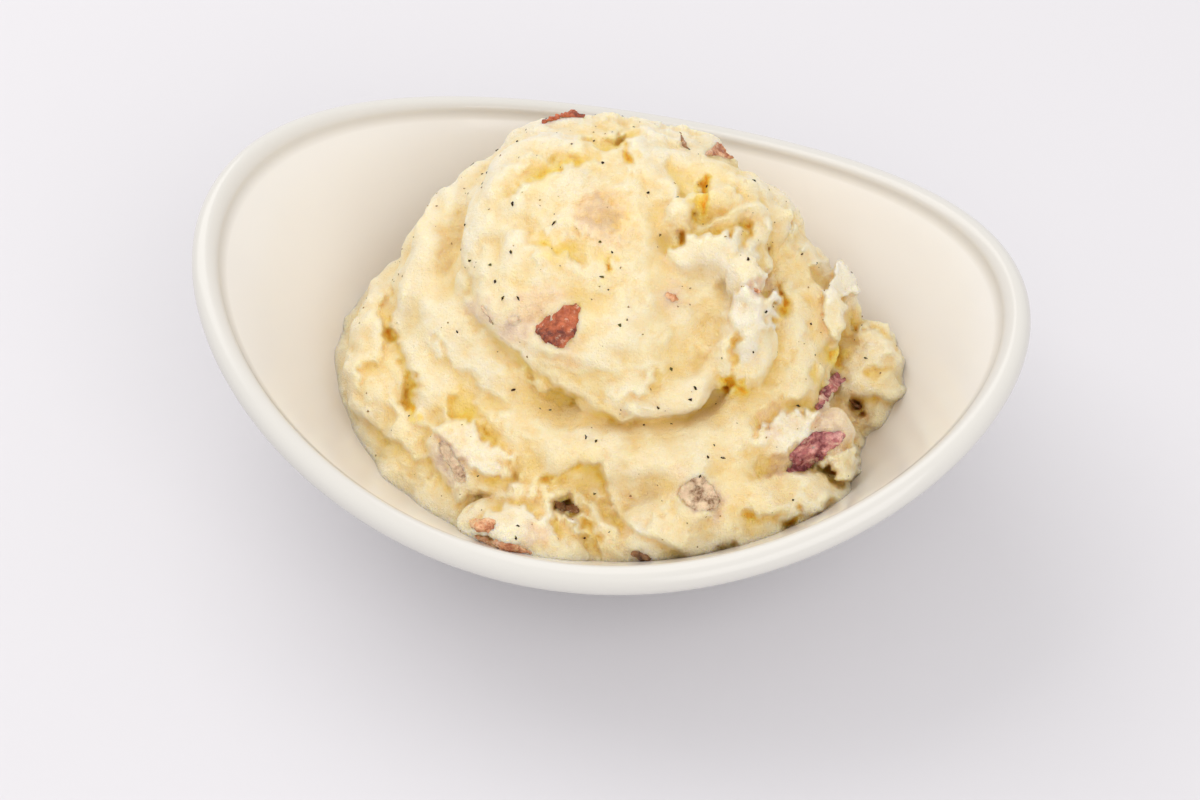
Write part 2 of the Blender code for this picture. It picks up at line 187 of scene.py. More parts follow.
# Folds that a spoon left: rise of the raised side, drop of the other, width of the edge,
# reach of both, how ragged it is, and the line as seen pixels, the raised side on its left
FOLDS = {
    "crown_lip": (0.9, 1.6, 0.5, 3.5, 0.5, (
        (467, 308), (484, 326), (505, 343), (521, 358), (540, 374),
        (567, 392), (593, 408), (617, 418), (640, 420), (671, 418), (692, 409), (708, 391),
        (720, 364))),
    "crown_left": (0.5, 0.9, 0.8, 3.5, 0.5, (
        (452, 258), (456, 280), (465, 300), (478, 318), (494, 334))),
    "crown_back": (1.4, 1.6, 0.5, 4.0, 0.7, (
        (648, 128), (640, 131), (627, 141), (609, 151), (597, 158), (577, 164), (543, 177),
        (520, 186), (498, 200))),
    "dent": (1.0, 1.3, 0.35, 2.6, 0.8, (
        (588, 276), (578, 262), (566, 252), (552, 248), (535, 244), (518, 240))),
    "crown_top": (0.7, 1.0, 0.9, 5.0, 0.8, (
        (655, 168), (640, 178), (622, 196), (598, 204), (570, 205))),
    "crown_side": (0.6, 0.6, 1.0, 5.0, 0.8, (
        (500, 240), (478, 262), (474, 285), (486, 305), (505, 322))),
    "below_skin": (0.9, 0.9, 0.8, 4.0, 0.6, (
        (508, 332), (528, 346), (556, 354), (584, 362), (606, 372), (626, 384))),
    "lobed_front": (0.7, 0.9, 0.6, 3.5, 1.0, (
        (606, 402), (620, 394), (640, 396), (654, 384), (648, 368))),
    "back_bump": (1.2, 1.6, 0.45, 3.0, 0.4, (
        (686, 222), (690, 206), (682, 202), (676, 184), (667, 165), (672, 148))),
    "back_bump_left": (0.8, 1.6, 0.6, 3.5, 0.6, (
        (631, 134), (630, 152), (627, 172), (622, 188))),
    "ledge": (1.0, 1.0, 0.5, 3.0, 0.5, (
        (772, 210), (765, 205), (743, 206), (731, 210), (712, 220), (688, 224))),
    "toothed": (1.6, 2.2, 0.35, 3.5, 1.0, (
        (747, 244), (741, 231), (731, 234), (720, 231), (714, 239), (708, 233), (700, 239),
        (694, 233), (686, 241), (672, 248), (656, 258))),
    "toothed_side": (1.0, 2.0, 0.6, 4.0, 1.0, (
        (752, 292), (758, 272), (756, 256), (748, 240))),
    "collar_left": (1.4, 1.0, 0.5, 3.0, 0.7, (
        (404, 268), (398, 296), (390, 320), (397, 340), (407, 357), (409, 371), (417, 379),
        (411, 395), (415, 411), (409, 417), (425, 428), (440, 436))),
    "collar_brow": (0.9, 1.0, 1.2, 6.0, 0.8, (
        (420, 290), (430, 330), (450, 362), (482, 388), (520, 402))),
    "lobe_top": (1.9, 1.4, 0.4, 3.0, 0.9, (
        (522, 474), (508, 455), (494, 446), (480, 436), (468, 423), (453, 417), (439, 401))),
    "lobe_foot": (1.5, 2.2, 0.45, 3.0, 0.9, (
        (434, 425), (441, 440), (449, 450), (464, 464), (480, 474), (498, 479), (518, 480))),
    "collar_foot": (1.6, 2.2, 0.5, 4.0, 0.8, (
        (510, 481), (524, 479), (540, 480), (553, 475), (567, 467), (587, 465), (606, 466))),
    "front_lobe": (2.0, 1.4, 0.5, 3.5, 0.4, (
        (596, 458), (601, 470), (608, 494), (620, 518), (641, 532), (667, 543), (686, 553),
        (698, 560))),
    "lump": (1.5, 1.4, 0.5, 4.0, 1.0, (
        (560, 512), (556, 498), (551, 484), (530, 479), (515, 485), (505, 496))),
    "chunk": (2.2, 1.8, 0.5, 5.0, 0.9, (
        (560, 552), (556, 534), (546, 516), (530, 508), (508, 505), (494, 510), (480, 518),
        (472, 534))),
    "left_low": (1.0, 1.8, 0.7, 5.0, 1.0, (
        (424, 450), (436, 470), (448, 490), (466, 508))),
    "front_ridge": (1.2, 2.4, 0.5, 3.0, 0.8, (
        (540, 518), (560, 520), (578, 528), (594, 542), (606, 558))),
    "second_lobe": (1.0, 1.6, 0.6, 4.0, 0.8, (
        (842, 486), (826, 477), (800, 473), (772, 474), (745, 481))),
    "second_foot": (1.6, 2.8, 0.4, 3.5, 0.8, (
        (738, 512), (760, 514), (784, 516), (806, 514), (824, 506), (842, 494))),
    "side_flap": (2.0, 2.6, 0.4, 3.5, 1.2, (
        (820, 408), (806, 407), (796, 413), (784, 414), (777, 420), (766, 427), (756, 437))),
    "side_flap_foot": (1.0, 1.5, 0.5, 3.0, 0.8, (
        (752, 458), (773, 459), (784, 454), (796, 446), (808, 436), (818, 422))),
    "collar_right": (1.4, 2.2, 0.7, 4.0, 0.7, (
        (813, 414), (815, 385), (815, 362), (825, 347), (834, 336), (845, 320), (846, 300))),
    "collar_rib": (1.0, 1.0, 1.2, 5.0, 0.6, (
        (798, 420), (806, 390), (808, 350), (804, 318), (800, 290))),
    "inner_rib": (0.8, 1.0, 0.9, 4.0, 0.7, (
        (728, 446), (735, 420), (736, 400), (752, 384), (770, 360), (782, 330))),
    "blob_fold": (1.3, 1.8, 0.6, 4.0, 1.0, (
        (900, 352), (880, 336), (862, 330), (846, 334))),
    "blob_foot": (1.0, 2.4, 0.6, 3.5, 1.0, (
        (862, 388), (876, 396), (892, 402), (902, 392))),
    "right_chunk": (1.4, 2.0, 0.5, 3.5, 1.0, (
        (838, 482), (850, 478), (862, 464), (850, 450), (838, 450))),
    "back_shoulder": (1.0, 1.4, 0.8, 5.0, 1.0, (
        (780, 196), (764, 180), (744, 172), (722, 168))),
    "left_shoulder": (1.1, 1.3, 0.9, 5.0, 1.0, (
        (352, 400), (362, 370), (380, 352), (384, 326), (372, 300))),
    "left_belly": (0.9, 1.2, 0.9, 5.0, 1.0, (
        (352, 386), (372, 410), (392, 436), (420, 462))),
}
# Ridges, lumps, creases and pits: height, or depth where negative, half width, and the line
MARKS = {
    "fold_in_crown": (0.9, 2.2, ((530, 262), (548, 256), (566, 262))),
    "skin_bed": (0.7, 3.0, ((520, 340), (545, 350), (572, 356))),
    "tan_hollow": (-0.8, 3.4, ((602, 202), (616, 216), (624, 236))),
    "small_hollow": (-1.6, 0.9, ((608, 262), (614, 268))),
    "behind_crown": (-0.8, 3.0, ((520, 176), (545, 170), (566, 158))),
    "behind_crown_right": (-0.6, 2.2, ((578, 152), (596, 148), (612, 142))),
    "back_crease": (-2.4, 1.0, ((632, 172), (630, 155), (632, 138))),
    "valley": (-2.4, 1.0, ((706, 176), (702, 192), (694, 212))),
    "pit": (-2.6, 1.0, ((681, 240), (688, 237))),
    "tooth_crease": (-1.5, 0.8, ((750, 224), (746, 234), (743, 242))),
    "lump_one": (1.8, 1.8, ((771, 226), (776, 224))),
    "lump_two": (1.8, 1.8, ((788, 229), (794, 230))),
    "lump_three": (1.8, 2.0, ((802, 246), (806, 250))),
    "lump_four": (1.5, 2.0, ((814, 262), (816, 268))),
    "flap_ridge": (1.4, 1.4, ((748, 296), (760, 294), (768, 304), (770, 320))),
    "beside_flap": (-2.0, 1.2, ((777, 289), (780, 302), (786, 314))),
    "left_of_flap": (-2.0, 1.0, ((738, 332), (734, 346), (733, 360), (731, 374))),
    "hole": (-2.4, 1.7, ((726, 379), (734, 383), (739, 380))),
    "left_crease": (-0.9, 0.9, ((393, 328), (398, 343), (407, 362), (410, 380), (408, 398),
                                (410, 415), (424, 428), (438, 433))),
    "left_crease_deep": (-0.7, 1.2, ((408, 374), (412, 396), (413, 416))),
    "left_spot": (-1.8, 1.6, ((386, 326), (391, 336), (391, 342))),
    "hollow": (-1.8, 2.6, ((446, 396), (466, 410), (480, 416))),
    "hollow_low": (-1.6, 2.2, ((484, 424), (494, 436), (504, 442))),
    "dark_hole": (-7.0, 1.8, ((555, 499), (564, 506), (575, 512))),
    "hole_crease": (-2.8, 0.9, ((574, 518), (590, 530), (604, 548))),
    "slope_ridge": (1.4, 1.3, ((576, 490), (594, 510), (608, 530), (622, 554))),
    "slope_crease": (-1.2, 0.9, ((596, 498), (606, 516), (622, 534))),
    "low_crease": (-2.8, 0.9, ((714, 551), (726, 548), (740, 545))),
    "notch": (-4.0, 1.3, ((781, 527), (788, 520), (796, 516))),
    "blob_crease": (-1.8, 1.3, ((824, 352), (836, 358), (848, 370))),
    "blob_mark": (-2.0, 1.0, ((862, 372), (872, 371), (884, 368))),
    "blob_hole": (-3.4, 1.3, ((849, 403), (858, 406), (864, 410))),
    "blob_top_lump": (1.6, 2.4, ((860, 322), (872, 324))),
    "blob_lump": (1.5, 2.2, ((884, 344), (892, 352))),
    "chunk_lump": (1.4, 2.4, ((512, 520), (530, 530))),
    "lump_top": (1.2, 1.8, ((528, 488), (540, 492))),
    "knob_rim": (1.0, 1.0, ((676, 500), (684, 512), (700, 518), (716, 514))),
    "left_low_lump": (1.2, 2.6, ((446, 496), (460, 500))),
    "low_right_crease": (-2.4, 1.0, ((822, 470), (838, 478), (846, 488))),
}
# Torn pieces that stand off the heap: how far each rises at two seen pixels, the two
# pixels, the roundness of its edge, and its outline as seen pixels
FLAPS = {
    "spike": (4.5, 2.5, (843, 262), (838, 335), 0.8, (
        (843, 259), (848, 272), (853, 288), (846, 297), (844, 310), (841, 330), (832, 340),
        (824, 328), (824, 303), (827, 273), (834, 266))),
    "torn_flap": (5.0, 0.4, (754, 292), (752, 360), 1.6, (
        (739, 293), (748, 289), (757, 290), (768, 298), (772, 314), (770, 334), (764, 350),
        (752, 364), (744, 366), (740, 350), (738, 333), (733, 328), (728, 315), (733, 305))),
    "chunk_tip": (3.6, 0.2, (490, 514), (548, 530), 1.4, (
        (480, 518), (494, 510), (508, 506), (530, 509), (548, 520), (552, 540), (530, 552),
        (500, 546), (484, 536))),
    "flap_tip": (3.2, 0.2, (806, 412), (768, 446), 0.9, (
        (757, 436), (767, 427), (778, 420), (784, 414), (796, 414), (806, 408), (815, 411),
        (813, 427), (803, 438), (796, 445), (784, 453), (768, 454))),
    "chunk_right": (3.4, 0.6, (856, 460), (826, 468), 1.3, (
        (826, 458), (843, 449), (851, 452), (861, 463), (857, 474), (845, 478), (828, 474))),
}
# A flap's edge is this much rounder than its own value says, and blends into the heap over this
# width. It sinks in by this much where the heap turns away from the camera, and isn't laid where
# less than this share of it is seen
FLAP_ROUND = 1.6
FLAP_BLEND = 0.8
FLAP_SINK = 2
FLAP_SHOWN = 0.02
# Places where the mash shows a deeper yellow, paler ones where negative, and where a
# skin has stained it: seen pixel, reach in pixels and strength. The deeper yellow places
# in creases, holes and under lips are painted shade; the rest are the mash's own patchy tone
YELLOW_AND_SHADE_PLACES = (
    ((540, 172), 20, 0.5), ((580, 150), 16, 0.25), ((630, 155), 9, 0.8), ((700, 195), 10, 1.5),
    ((690, 215), 8, 0.9), ((746, 230), 8, 0.7), ((778, 300), 12, 1.0), ((785, 312), 9, 1.0),
    ((734, 340), 9, 0.9), ((732, 362), 8, 0.8), ((733, 384), 11, 2.2), ((411, 381), 7, 0.8),
    ((410, 413), 7, 2.0), ((408, 396), 8, 0.7), ((456, 404), 18, 0.6), ((498, 438), 14, 0.4),
    ((482, 420), 24, 0.3), ((390, 332), 13, 0.6), ((555, 250), 14, 1.1), ((612, 266), 8, 0.8),
    ((616, 220), 20, 0.15), ((606, 413), 14, 0.8), ((838, 360), 12, 1.8), ((872, 371), 12, 0.7),
    ((858, 405), 12, 0.8), ((580, 469), 22, 0.55), ((602, 484), 12, 0.5), ((760, 508), 34, 0.35),
    ((754, 452), 9, 0.5), ((565, 380), 30, 0.3), ((700, 250), 16, 0.3), ((600, 545), 26, 0.4),
    ((620, 520), 14, 0.5), ((370, 380), 40, 0.05), ((400, 440), 30, 0.3), ((690, 520), 40, 0.2),
    ((720, 180), 34, 0.5), ((530, 430), 40, 0.1), ((850, 330), 20, 0.1), ((790, 525), 14, 0.8),
    ((755, 305), 26, -1.0), ((715, 256), 30, -0.6), ((520, 520), 32, -0.6),
    ((480, 450), 26, -0.5), ((600, 364), 20, -0.4), ((640, 390), 26, -0.2),
    ((500, 210), 60, -0.4), ((560, 120), 30, -0.6), ((660, 140), 26, -0.6),
    ((790, 430), 26, -0.5), ((435, 320), 50, -0.4), ((630, 500), 30, -0.4),
    ((840, 280), 18, -0.9), ((750, 350), 14, -0.9), ((480, 380), 40, -0.3),
    ((680, 300), 24, -0.3), ((790, 490), 24, -0.35), ((600, 225), 26, 0.4),
)
STAINED_PLACES = (
    ((604, 218), 24, 0.6), ((526, 320), 18, 0.45), ((548, 300), 18, 0.3), ((512, 330), 12, 0.45),
    ((566, 352), 14, 0.25), ((682, 488), 12, 0.4), ((706, 500), 18, 0.6), ((447, 452), 14, 0.7),
    ((455, 472), 14, 0.5), ((826, 416), 16, 0.7), ((838, 436), 14, 0.5), ((780, 468), 12, 0.6),
    ((774, 424), 10, 0.3), ((535, 540), 14, 0.4), ((672, 296), 14, 0.35), ((762, 290), 8, 0.5),
    ((856, 408), 10, 0.4), ((484, 312), 10, 0.5),
)
# Spoon marks round the heap: seen pixel of their middle, how flat their ovals look, their width
# and depth, and the table of heights behind them: cells, cells a mark, cells round and seed
SWEEP_CENTRE = (600, 235)
SWEEP_FLATNESS = 1.3
SWEEP_WIDTH = 3.4
SWEEP_DEPTH = 0.45
SWEEP_CELLS = 120
SWEEP_CELLS_WIDE = 3.2
SWEEP_CELLS_ROUND = 34
SWEEP_SEED = 97
# Rough places: seen pixel, reach in pixels and how rough
ROUGH_PLACES = (
    ((365, 350), 70, 0.35), ((440, 480), 60, 0.8), ((510, 520), 60, 1.2), ((590, 520), 50, 1.2),
    ((790, 250), 60, 1.2), ((870, 350), 60, 1.2), ((835, 440), 50, 1.2), ((715, 255), 50, 1.0),
    ((600, 150), 60, 0.9), ((745, 330), 45, 1.0), ((700, 180), 60, 0.9), ((460, 430), 50, 0.7),
    ((560, 280), 60, 0.6), ((840, 300), 40, 1.0), ((720, 545), 40, 0.8), ((560, 470), 40, 0.7),
)


def soft_noise(shape, step, size, seed):
    """Smooth random heights, mostly -1 to 1, with bumps of the given size."""
    random = np.random.default_rng(seed)
    spacing = size / 3.15
    count = [int(cells * step / spacing) + 4 for cells in shape]
    heights = random.normal(size=count).astype(np.float32)
    for axis in range(len(shape)):
        before = np.roll(heights, 1, axis)
        after = np.roll(heights, -1, axis)
        heights = (before + 2 * heights + after) / 4
    heights /= heights.std() * 1.7
    for axis, cells in enumerate(shape):
        place = 1 + np.arange(cells) * step / spacing
        index = place.astype(int)
        stretch = [1] * len(shape)
        stretch[axis] = -1
        part = (place - index).astype(np.float32).reshape(stretch)
        low = np.take(heights, index, axis=axis)
        high = np.take(heights, index + 1, axis=axis)
        heights = low * (1 - part) + high * part
    return heights


def lumpy_noise(shape, step, size, seed):
    """Rounded lumps with creases between them, 0 on average."""
    heights = np.abs(soft_noise(shape, step, size, seed))
    return np.minimum(heights, 1.4) - 0.45


def join(a, b, blend):
    """Union of two distance fields, rounded over the blend."""
    near = np.maximum(blend - np.abs(a - b), 0) / blend
    return np.minimum(a, b) - near * near * blend * 0.25


def meet(a, b, blend):
    """Intersection of two distance fields, rounded over the blend."""
    return -join(-a, -b, blend)


def smooth_line(points, steps, closed=False):
    """A smooth line through the points."""
    p = np.array(points, float)
    if closed:
        p = np.vstack([p[-1:], p, p[:2]])
    else:
        p = np.vstack([2 * p[0] - p[1], p, 2 * p[-1] - p[-2]])
    out = []
    for i in range(1, len(p) - 2):
        a, b, c, d = p[i - 1:i + 3]
        for t in np.arange(steps) / steps:
            out.append(0.5 * (2 * b + (c - a) * t + (2 * a - 5 * b + 4 * c - d) * t**2
                              + (3 * b - a - 3 * c + d) * t**3))
    if not closed:
        out.append(p[-2])
    return np.array(out)


def turn_matrix(angles):
    """Turn about up, tilt about right and lean about away, in degrees."""
    turn, tilt, lean = (math.radians(a) for a in angles)
    about_up = Matrix.Rotation(turn, 3, "Z")
    about_right = Matrix.Rotation(tilt, 3, "X")
    about_away = Matrix.Rotation(lean, 3, "Y")
    return np.array(about_up @ about_right @ about_away)


class Block:
    """The cells round the heap: where each is, and where it is bent to for uneven lobes."""

    def __init__(self):
        self.shape = [int((high - low) / CELL) + 1 for low, high in zip(BLOCK_LOW, BLOCK_HIGH)]
        axes = [(low + CELL * np.arange(cells)).astype(np.float32)
                for low, cells in zip(BLOCK_LOW, self.shape)]
        self.place = np.meshgrid(*axes, indexing="ij")
        self.bent = []
        for axis, place in enumerate(self.place):
            for height, size, seed in BENDS:
                place = place + height * self.noise(size, seed + axis)
            self.bent.append(place)

    def noise(self, size, seed):
        return soft_noise(self.shape, CELL, size, seed)

    def window(self, low, high):
        """The cells between two corners, as slices."""
        cut = []
        for i in range(3):
            start = max(0, int((low[i] - BLOCK_LOW[i]) / CELL))
            end = min(self.shape[i], int((high[i] - BLOCK_LOW[i]) / CELL) + 2)
            cut.append(slice(start, end))
        return tuple(cut)

    def add_lobe(self, field, centre, half, angles, blend):
        """Joins an egg-shaped lobe to the field."""
        turn = turn_matrix(angles)
        reach = np.sqrt(((turn * np.array(half)) ** 2).sum(1)) + blend + 3
        cut = self.window(np.array(centre) - reach, np.array(centre) + reach)
        away = [p[cut] - c for p, c in zip(self.bent, centre)]
        local = [sum(float(turn[j, i]) * away[j] for j in range(3)) for i in range(3)]
        first = np.sqrt(sum((v / h) ** 2 for v, h in zip(local, half)) + 1e-9)
        second = np.sqrt(sum((v / h**2) ** 2 for v, h in zip(local, half)) + 1e-12)
        field[cut] = join(field[cut], first * (first - 1) / second, blend)

    def add_roll(self, field, points, blend):
        """Joins a bent roll to the field, through points that hold a place and a radius."""
        line = smooth_line(points, 3)
        low = (line[:, :3] - line[:, 3:]).min(0) - blend - 3
        high = (line[:, :3] + line[:, 3:]).max(0) + blend + 3
        cut = self.window(low, high)
        place = [p[cut] for p in self.bent]
        near = None
        for start, end in zip(line[:-1], line[1:]):
            run = end - start
            t = sum((p - s) * r for p, s, r in zip(place, start, run)) / float(run[:3] @ run[:3])
            t = np.clip(t, 0, 1)
            gap = sum((p - s - t * r) ** 2 for p, s, r in zip(place, start, run))
            gap = np.sqrt(gap) - (start[3] + t * run[3])
            near = gap if near is None else np.minimum(near, gap)
        field[cut] = join(field[cut], near.astype(np.float32), blend)


def seen(points):
    """Millimetres right and up of the target, for pixels of the photograph."""
    return np.array([((x - TARGET_X) / PIXELS_PER_MM, (TARGET_Y - y) / PIXELS_PER_MM)
                     for x, y in points])


def nearest_on_line(across, up, line):
    """Distance of each seen place to a line, its side (1 on the left) and how far along."""
    best = np.full(across.shape, 1e6)
    side = np.ones(across.shape)
    along = np.zeros(across.shape)
    travelled = 0.0
    for (x0, y0), (x1, y1) in zip(line[:-1], line[1:]):
        run_x = x1 - x0
        run_y = y1 - y0
        length = math.hypot(run_x, run_y)
        t = ((across - x0) * run_x + (up - y0) * run_y) / (length * length)
        t = np.clip(t, 0, 1)
        gap_x = across - x0 - t * run_x
        gap_y = up - y0 - t * run_y
        gap = gap_x * gap_x + gap_y * gap_y
        nearer = gap < best
        best = np.where(nearer, gap, best)
        side = np.where(nearer, np.sign(run_x * gap_y - run_y * gap_x), side)
        along = np.where(nearer, travelled + t * length, along)
        travelled += length
    return np.sqrt(best), side, along / travelled


def depth_inside(across, up, outline):
    """Distance of each seen place to an outline, positive inside it."""
    closed = np.vstack([outline, outline[:1]])
    inside = np.zeros(across.shape, bool)
    for (x0, y0), (x1, y1) in zip(closed[:-1], closed[1:]):
        if y0 != y1:
            crossing = (y0 > up) != (y1 > up)
            inside ^= crossing & (across < (x1 - x0) * (up - y0) / (y1 - y0) + x0)
    return np.where(inside, 1, -1) * nearest_on_line(across, up, closed)[0]


def ease(value):
    """A smooth rise from 0 to 1."""
    value = np.clip(value, 0, 1)
    return value * value * (3 - 2 * value)


def between(table, row, column):
    """Values between the cells of a table."""
    row = np.clip(row, 0, table.shape[0] - 1.001)
    column = np.clip(column, 0, table.shape[1] - 1.001)
    i = row.astype(int)
    j = column.astype(int)
    row = row - i
    column = column - j
    low = table[i, j] * (1 - column) + table[i, j + 1] * column
    high = table[i + 1, j] * (1 - column) + table[i + 1, j + 1] * column
    return low * (1 - row) + high * row


class Face:
    """The heap's face as the camera sees it: heights and tints over places right and up."""

    def __init__(self):
        across = np.arange(FACE_LOW[0], FACE_HIGH[0], FACE_STEP)
        up = np.arange(FACE_LOW[1], FACE_HIGH[1], FACE_STEP)
        self.across, self.up = np.meshgrid(across, up, indexing="ij")
        shape = self.across.shape
        self.shift = [sum(height * soft_noise(shape, FACE_STEP, size, seed + axis)
                          for height, size, seed in RAGGED_WAVES) for axis in range(2)]
        self.vary = soft_noise(shape, FACE_STEP, *FOLD_VARIATION)
        self.height = np.zeros(shape)
        self.yellow = np.zeros(shape)
        self.stain = np.zeros(shape)
        self.rough = np.full(shape, ROUGH)
        self.draw()

    def near(self, line, margin):
        """The part of the grid near a line."""
        low = ((line.min(0) - margin - FACE_LOW) / FACE_STEP).astype(int).clip(0)
        high = ((line.max(0) + margin - FACE_LOW) / FACE_STEP).astype(int) + 2
        return slice(low[0], high[0]), slice(low[1], high[1])

    def measure(self, line, margin, ragged):
        """The part of the grid near a line, and its distance, side and way along there."""
        cut = self.near(line, margin)
        across = self.across[cut] + ragged * self.shift[0][cut]
        up = self.up[cut] + ragged * self.shift[1][cut]
        return cut, nearest_on_line(across, up, line)

    def add_fold(self, rise, drop, edge, reach, ragged, points):
        """A step that fades out on both sides of its line and towards the line's ends."""
        line = smooth_line(seen(points), 5)
        cut, (away, side, along) = self.measure(line, 3 * reach, ragged)
        taper = ease(np.minimum(along, 1 - along) / FOLD_TAPER)
        vary = 1 + FOLD_UNEVEN * self.vary[cut]
        raised = 0.5 + 0.5 * np.tanh(away * side / edge)
        fade = np.exp(-away / reach) * taper * vary
        self.height[cut] += (raised * rise - (1 - raised) * drop) * fade
        # Painted shade: a deeper yellow on the lower side, under the fold's edge
        below = (1 - raised) * np.exp(-away / (0.3 * reach))
        self.yellow[cut] += FOLD_SHADE_YELLOW * drop * below * taper

    def add_mark(self, height, width, points):
        """A ridge, or a crease or pit where the height is negative."""
        line = smooth_line(seen(points), 5)
        cut, (away, _, along) = self.measure(line, 3 * width, MARK_RAGGED)
        taper = MARK_END + (1 - MARK_END) * ease(np.minimum(along, 1 - along) / MARK_TAPER)
        shape = np.exp(-((away / (width * taper)) ** 2)) * taper
        self.height[cut] += height * shape
        # Creases and pits get a deeper yellow as painted shade
        if height < 0:
            self.yellow[cut] += MARK_SHADE_YELLOW * min(-height, MARK_YELLOW_LIMIT) * shape

    def add_sweeps(self):
        """Shallow grooves that run round the heap, as a spoon leaves them."""
        centre = seen((SWEEP_CENTRE,))[0]
        across = self.across + SWEEP_RAGGED * self.shift[0] - centre[0]
        up = SWEEP_FLATNESS * (self.up + SWEEP_RAGGED * self.shift[1] - centre[1])
        radius = np.hypot(across, up)
        around = np.arctan2(across, -up) + math.pi
        table = soft_noise((SWEEP_CELLS, SWEEP_CELLS), 1.0, SWEEP_CELLS_WIDE, SWEEP_SEED)
        self.height += SWEEP_DEPTH * between(table, radius / SWEEP_WIDTH * SWEEP_CELLS_WIDE,
                                             around / math.tau * SWEEP_CELLS_ROUND)

    def add_bed(self, outline):
        """A shallow bed for a skin, with the mash pressed up round it."""
        line = smooth_line(seen(outline), 4, closed=True)
        cut = self.near(line, 3.0)
        across = self.across[cut] + BED_RAGGED * self.shift[0][cut]
        up = self.up[cut] + BED_RAGGED * self.shift[1][cut]
        inside = depth_inside(across, up, line)
        rim = np.exp(-(((inside + BED_RIM_WIDTH) / BED_RIM_WIDTH) ** 2))
        rim *= BED_RIM_LEAST + BED_RIM_UNEVEN * self.vary[cut]
        self.height[cut] += BED_RIM * rim - BED_DEPTH * ease(inside / BED_EDGE + 0.5)

    def spots(self, layer, places):
        """Adds round spots with soft, ragged edges to a layer."""
        for pixel, reach, strength in places:
            centre = seen((pixel,))[0]
            across = self.across + SPOT_RAGGED * self.shift[0] - centre[0]
            up = self.up + SPOT_RAGGED * self.shift[1] - centre[1]
            away = np.hypot(across, up) * PIXELS_PER_MM / reach
            layer += strength * ease(1.5 - away)

    def draw(self):
        self.add_sweeps()
        for values in FOLDS.values():
            self.add_fold(*values)
        for values in MARKS.values():
            self.add_mark(*values)
        for _, _, outline in SKINS.values():
            self.add_bed(outline)
        self.spots(self.yellow, YELLOW_AND_SHADE_PLACES)
        self.spots(self.stain, STAINED_PLACES)
        rougher = np.zeros(self.rough.shape)
        self.spots(rougher, ROUGH_PLACES)
        self.rough += np.minimum(rougher, ROUGH_LIMIT)

    def at(self, layer, across, up):
        """Values of a layer at seen places."""
        return between(layer, (across - FACE_LOW[0]) / FACE_STEP, (up - FACE_LOW[1]) / FACE_STEP)


def box_blur(field, reach):
    """Mean over a cube of cells, worked out axis by axis."""
    for axis in range(3):
        padded = np.concatenate([np.take(field, [0] * (reach + 1), axis=axis), field,
                                 np.take(field, [-1] * reach, axis=axis)], axis=axis)
        total = np.cumsum(padded, axis=axis, dtype=np.float32)
        size = field.shape[axis]
        high = np.take(total, np.arange(2 * reach + 1, 2 * reach + 1 + size), axis=axis)
        low = np.take(total, np.arange(size), axis=axis)
        field = (high - low) / (2 * reach + 1)
    return field


def bezier(points, steps):
    """Points along a curve with four control points."""
    a, b, c, d = (np.array(p) for p in points)
    t = np.linspace(0, 1, steps + 1)[:, None]
    s = 1 - t
    return s**3 * a + 3 * s * s * t * b + 3 * s * t * t * c + t**3 * d


def outward_part(across):
    """How far out a place of the turned profile is, from 0 where the rise starts to 1."""
    return np.clip((across - RISE_START) / (TURNED_RADIUS - RISE_START), 0, 1)


def cavity_height(x, y):
    """Height of the bowl's inner surface over a place of the bowl's frame."""
    flat_x = x * TURNED_RADIUS / BOWL_HALF_LENGTH
    flat_y = y * TURNED_RADIUS / BOWL_HALF_WIDTH
    across = np.hypot(flat_x, flat_y)
    around = np.arctan2(flat_y, flat_x)
    wall = np.vstack([[(0.0, FLOOR_HEIGHT)], bezier(INNER_WALL, WALL_STEPS)])
    height = np.interp(across, wall[:, 0], wall[:, 1])
    height += LIP_RISE * np.cos(2 * around) * outward_part(across) ** RISE_POWER
    return height + np.clip(across - wall[-1, 0], 0, None) * 6


def heap_body(block):
    """The heap's lobes and rolls, without the finer folds."""
    field = np.full(block.shape, EMPTY, np.float32)
    for centre, half, angles in BODY_LOBES:
        block.add_lobe(field, centre, half, angles, BODY_BLEND)
    for centre, half, angles in FOLD_LOBES:
        block.add_lobe(field, centre, half, angles, FOLD_BLEND)
    for points in FOLD_ROLLS:
        block.add_roll(field, points, FOLD_BLEND)
    return field


def seen_places(right, away, up):
    """Where places of the heap's frame appear: across, up and how far towards the camera."""
    up = up - TARGET_HEIGHT
    towards = math.sin(CAMERA_ELEVATION) * up - math.cos(CAMERA_ELEVATION) * away
    scale = CAMERA_DISTANCE / (CAMERA_DISTANCE - towards)
    across = right * scale
    raised = (math.sin(CAMERA_ELEVATION) * away + math.cos(CAMERA_ELEVATION) * up) * scale
    return across, raised, towards


def facing(body, cells):
    """How much the surface near each cell faces the camera, from 0 to 1."""
    right, away, up = np.gradient(body)
    length = np.sqrt(right**2 + away**2 + up**2).ravel()[cells] + 1e-6
    toward = math.sin(CAMERA_ELEVATION) * up - math.cos(CAMERA_ELEVATION) * away
    return ease((toward.ravel()[cells] / length - FACING_FROM) / FACING_RANGE)


def add_flaps(body, field, across, up, shown):
    """Lays the torn pieces on the heap."""
    for rise_a, rise_b, end_a, end_b, edge, outline in FLAPS.values():
        line = smooth_line(seen(outline), 4, closed=True)
        low = line.min(0) - 3
        high = line.max(0) + 3
        near = np.flatnonzero((across > low[0]) & (across < high[0])
                              & (up > low[1]) & (up < high[1]) & (shown > FLAP_SHOWN))
        inside = depth_inside(across[near], up[near], line)
        start, end = seen((end_a, end_b))
        run = end - start
        t = ((across[near] - start[0]) * run[0] + (up[near] - start[1]) * run[1]) / (run @ run)
        rise = rise_a + (rise_b - rise_a) * np.clip(t, 0, 1)
        rise = rise * shown[near] - FLAP_SINK * (1 - shown[near])
        sheet = meet(body[near] - rise, -inside, FLAP_ROUND * edge)
        field[near] = join(field[near], sheet, FLAP_BLEND)


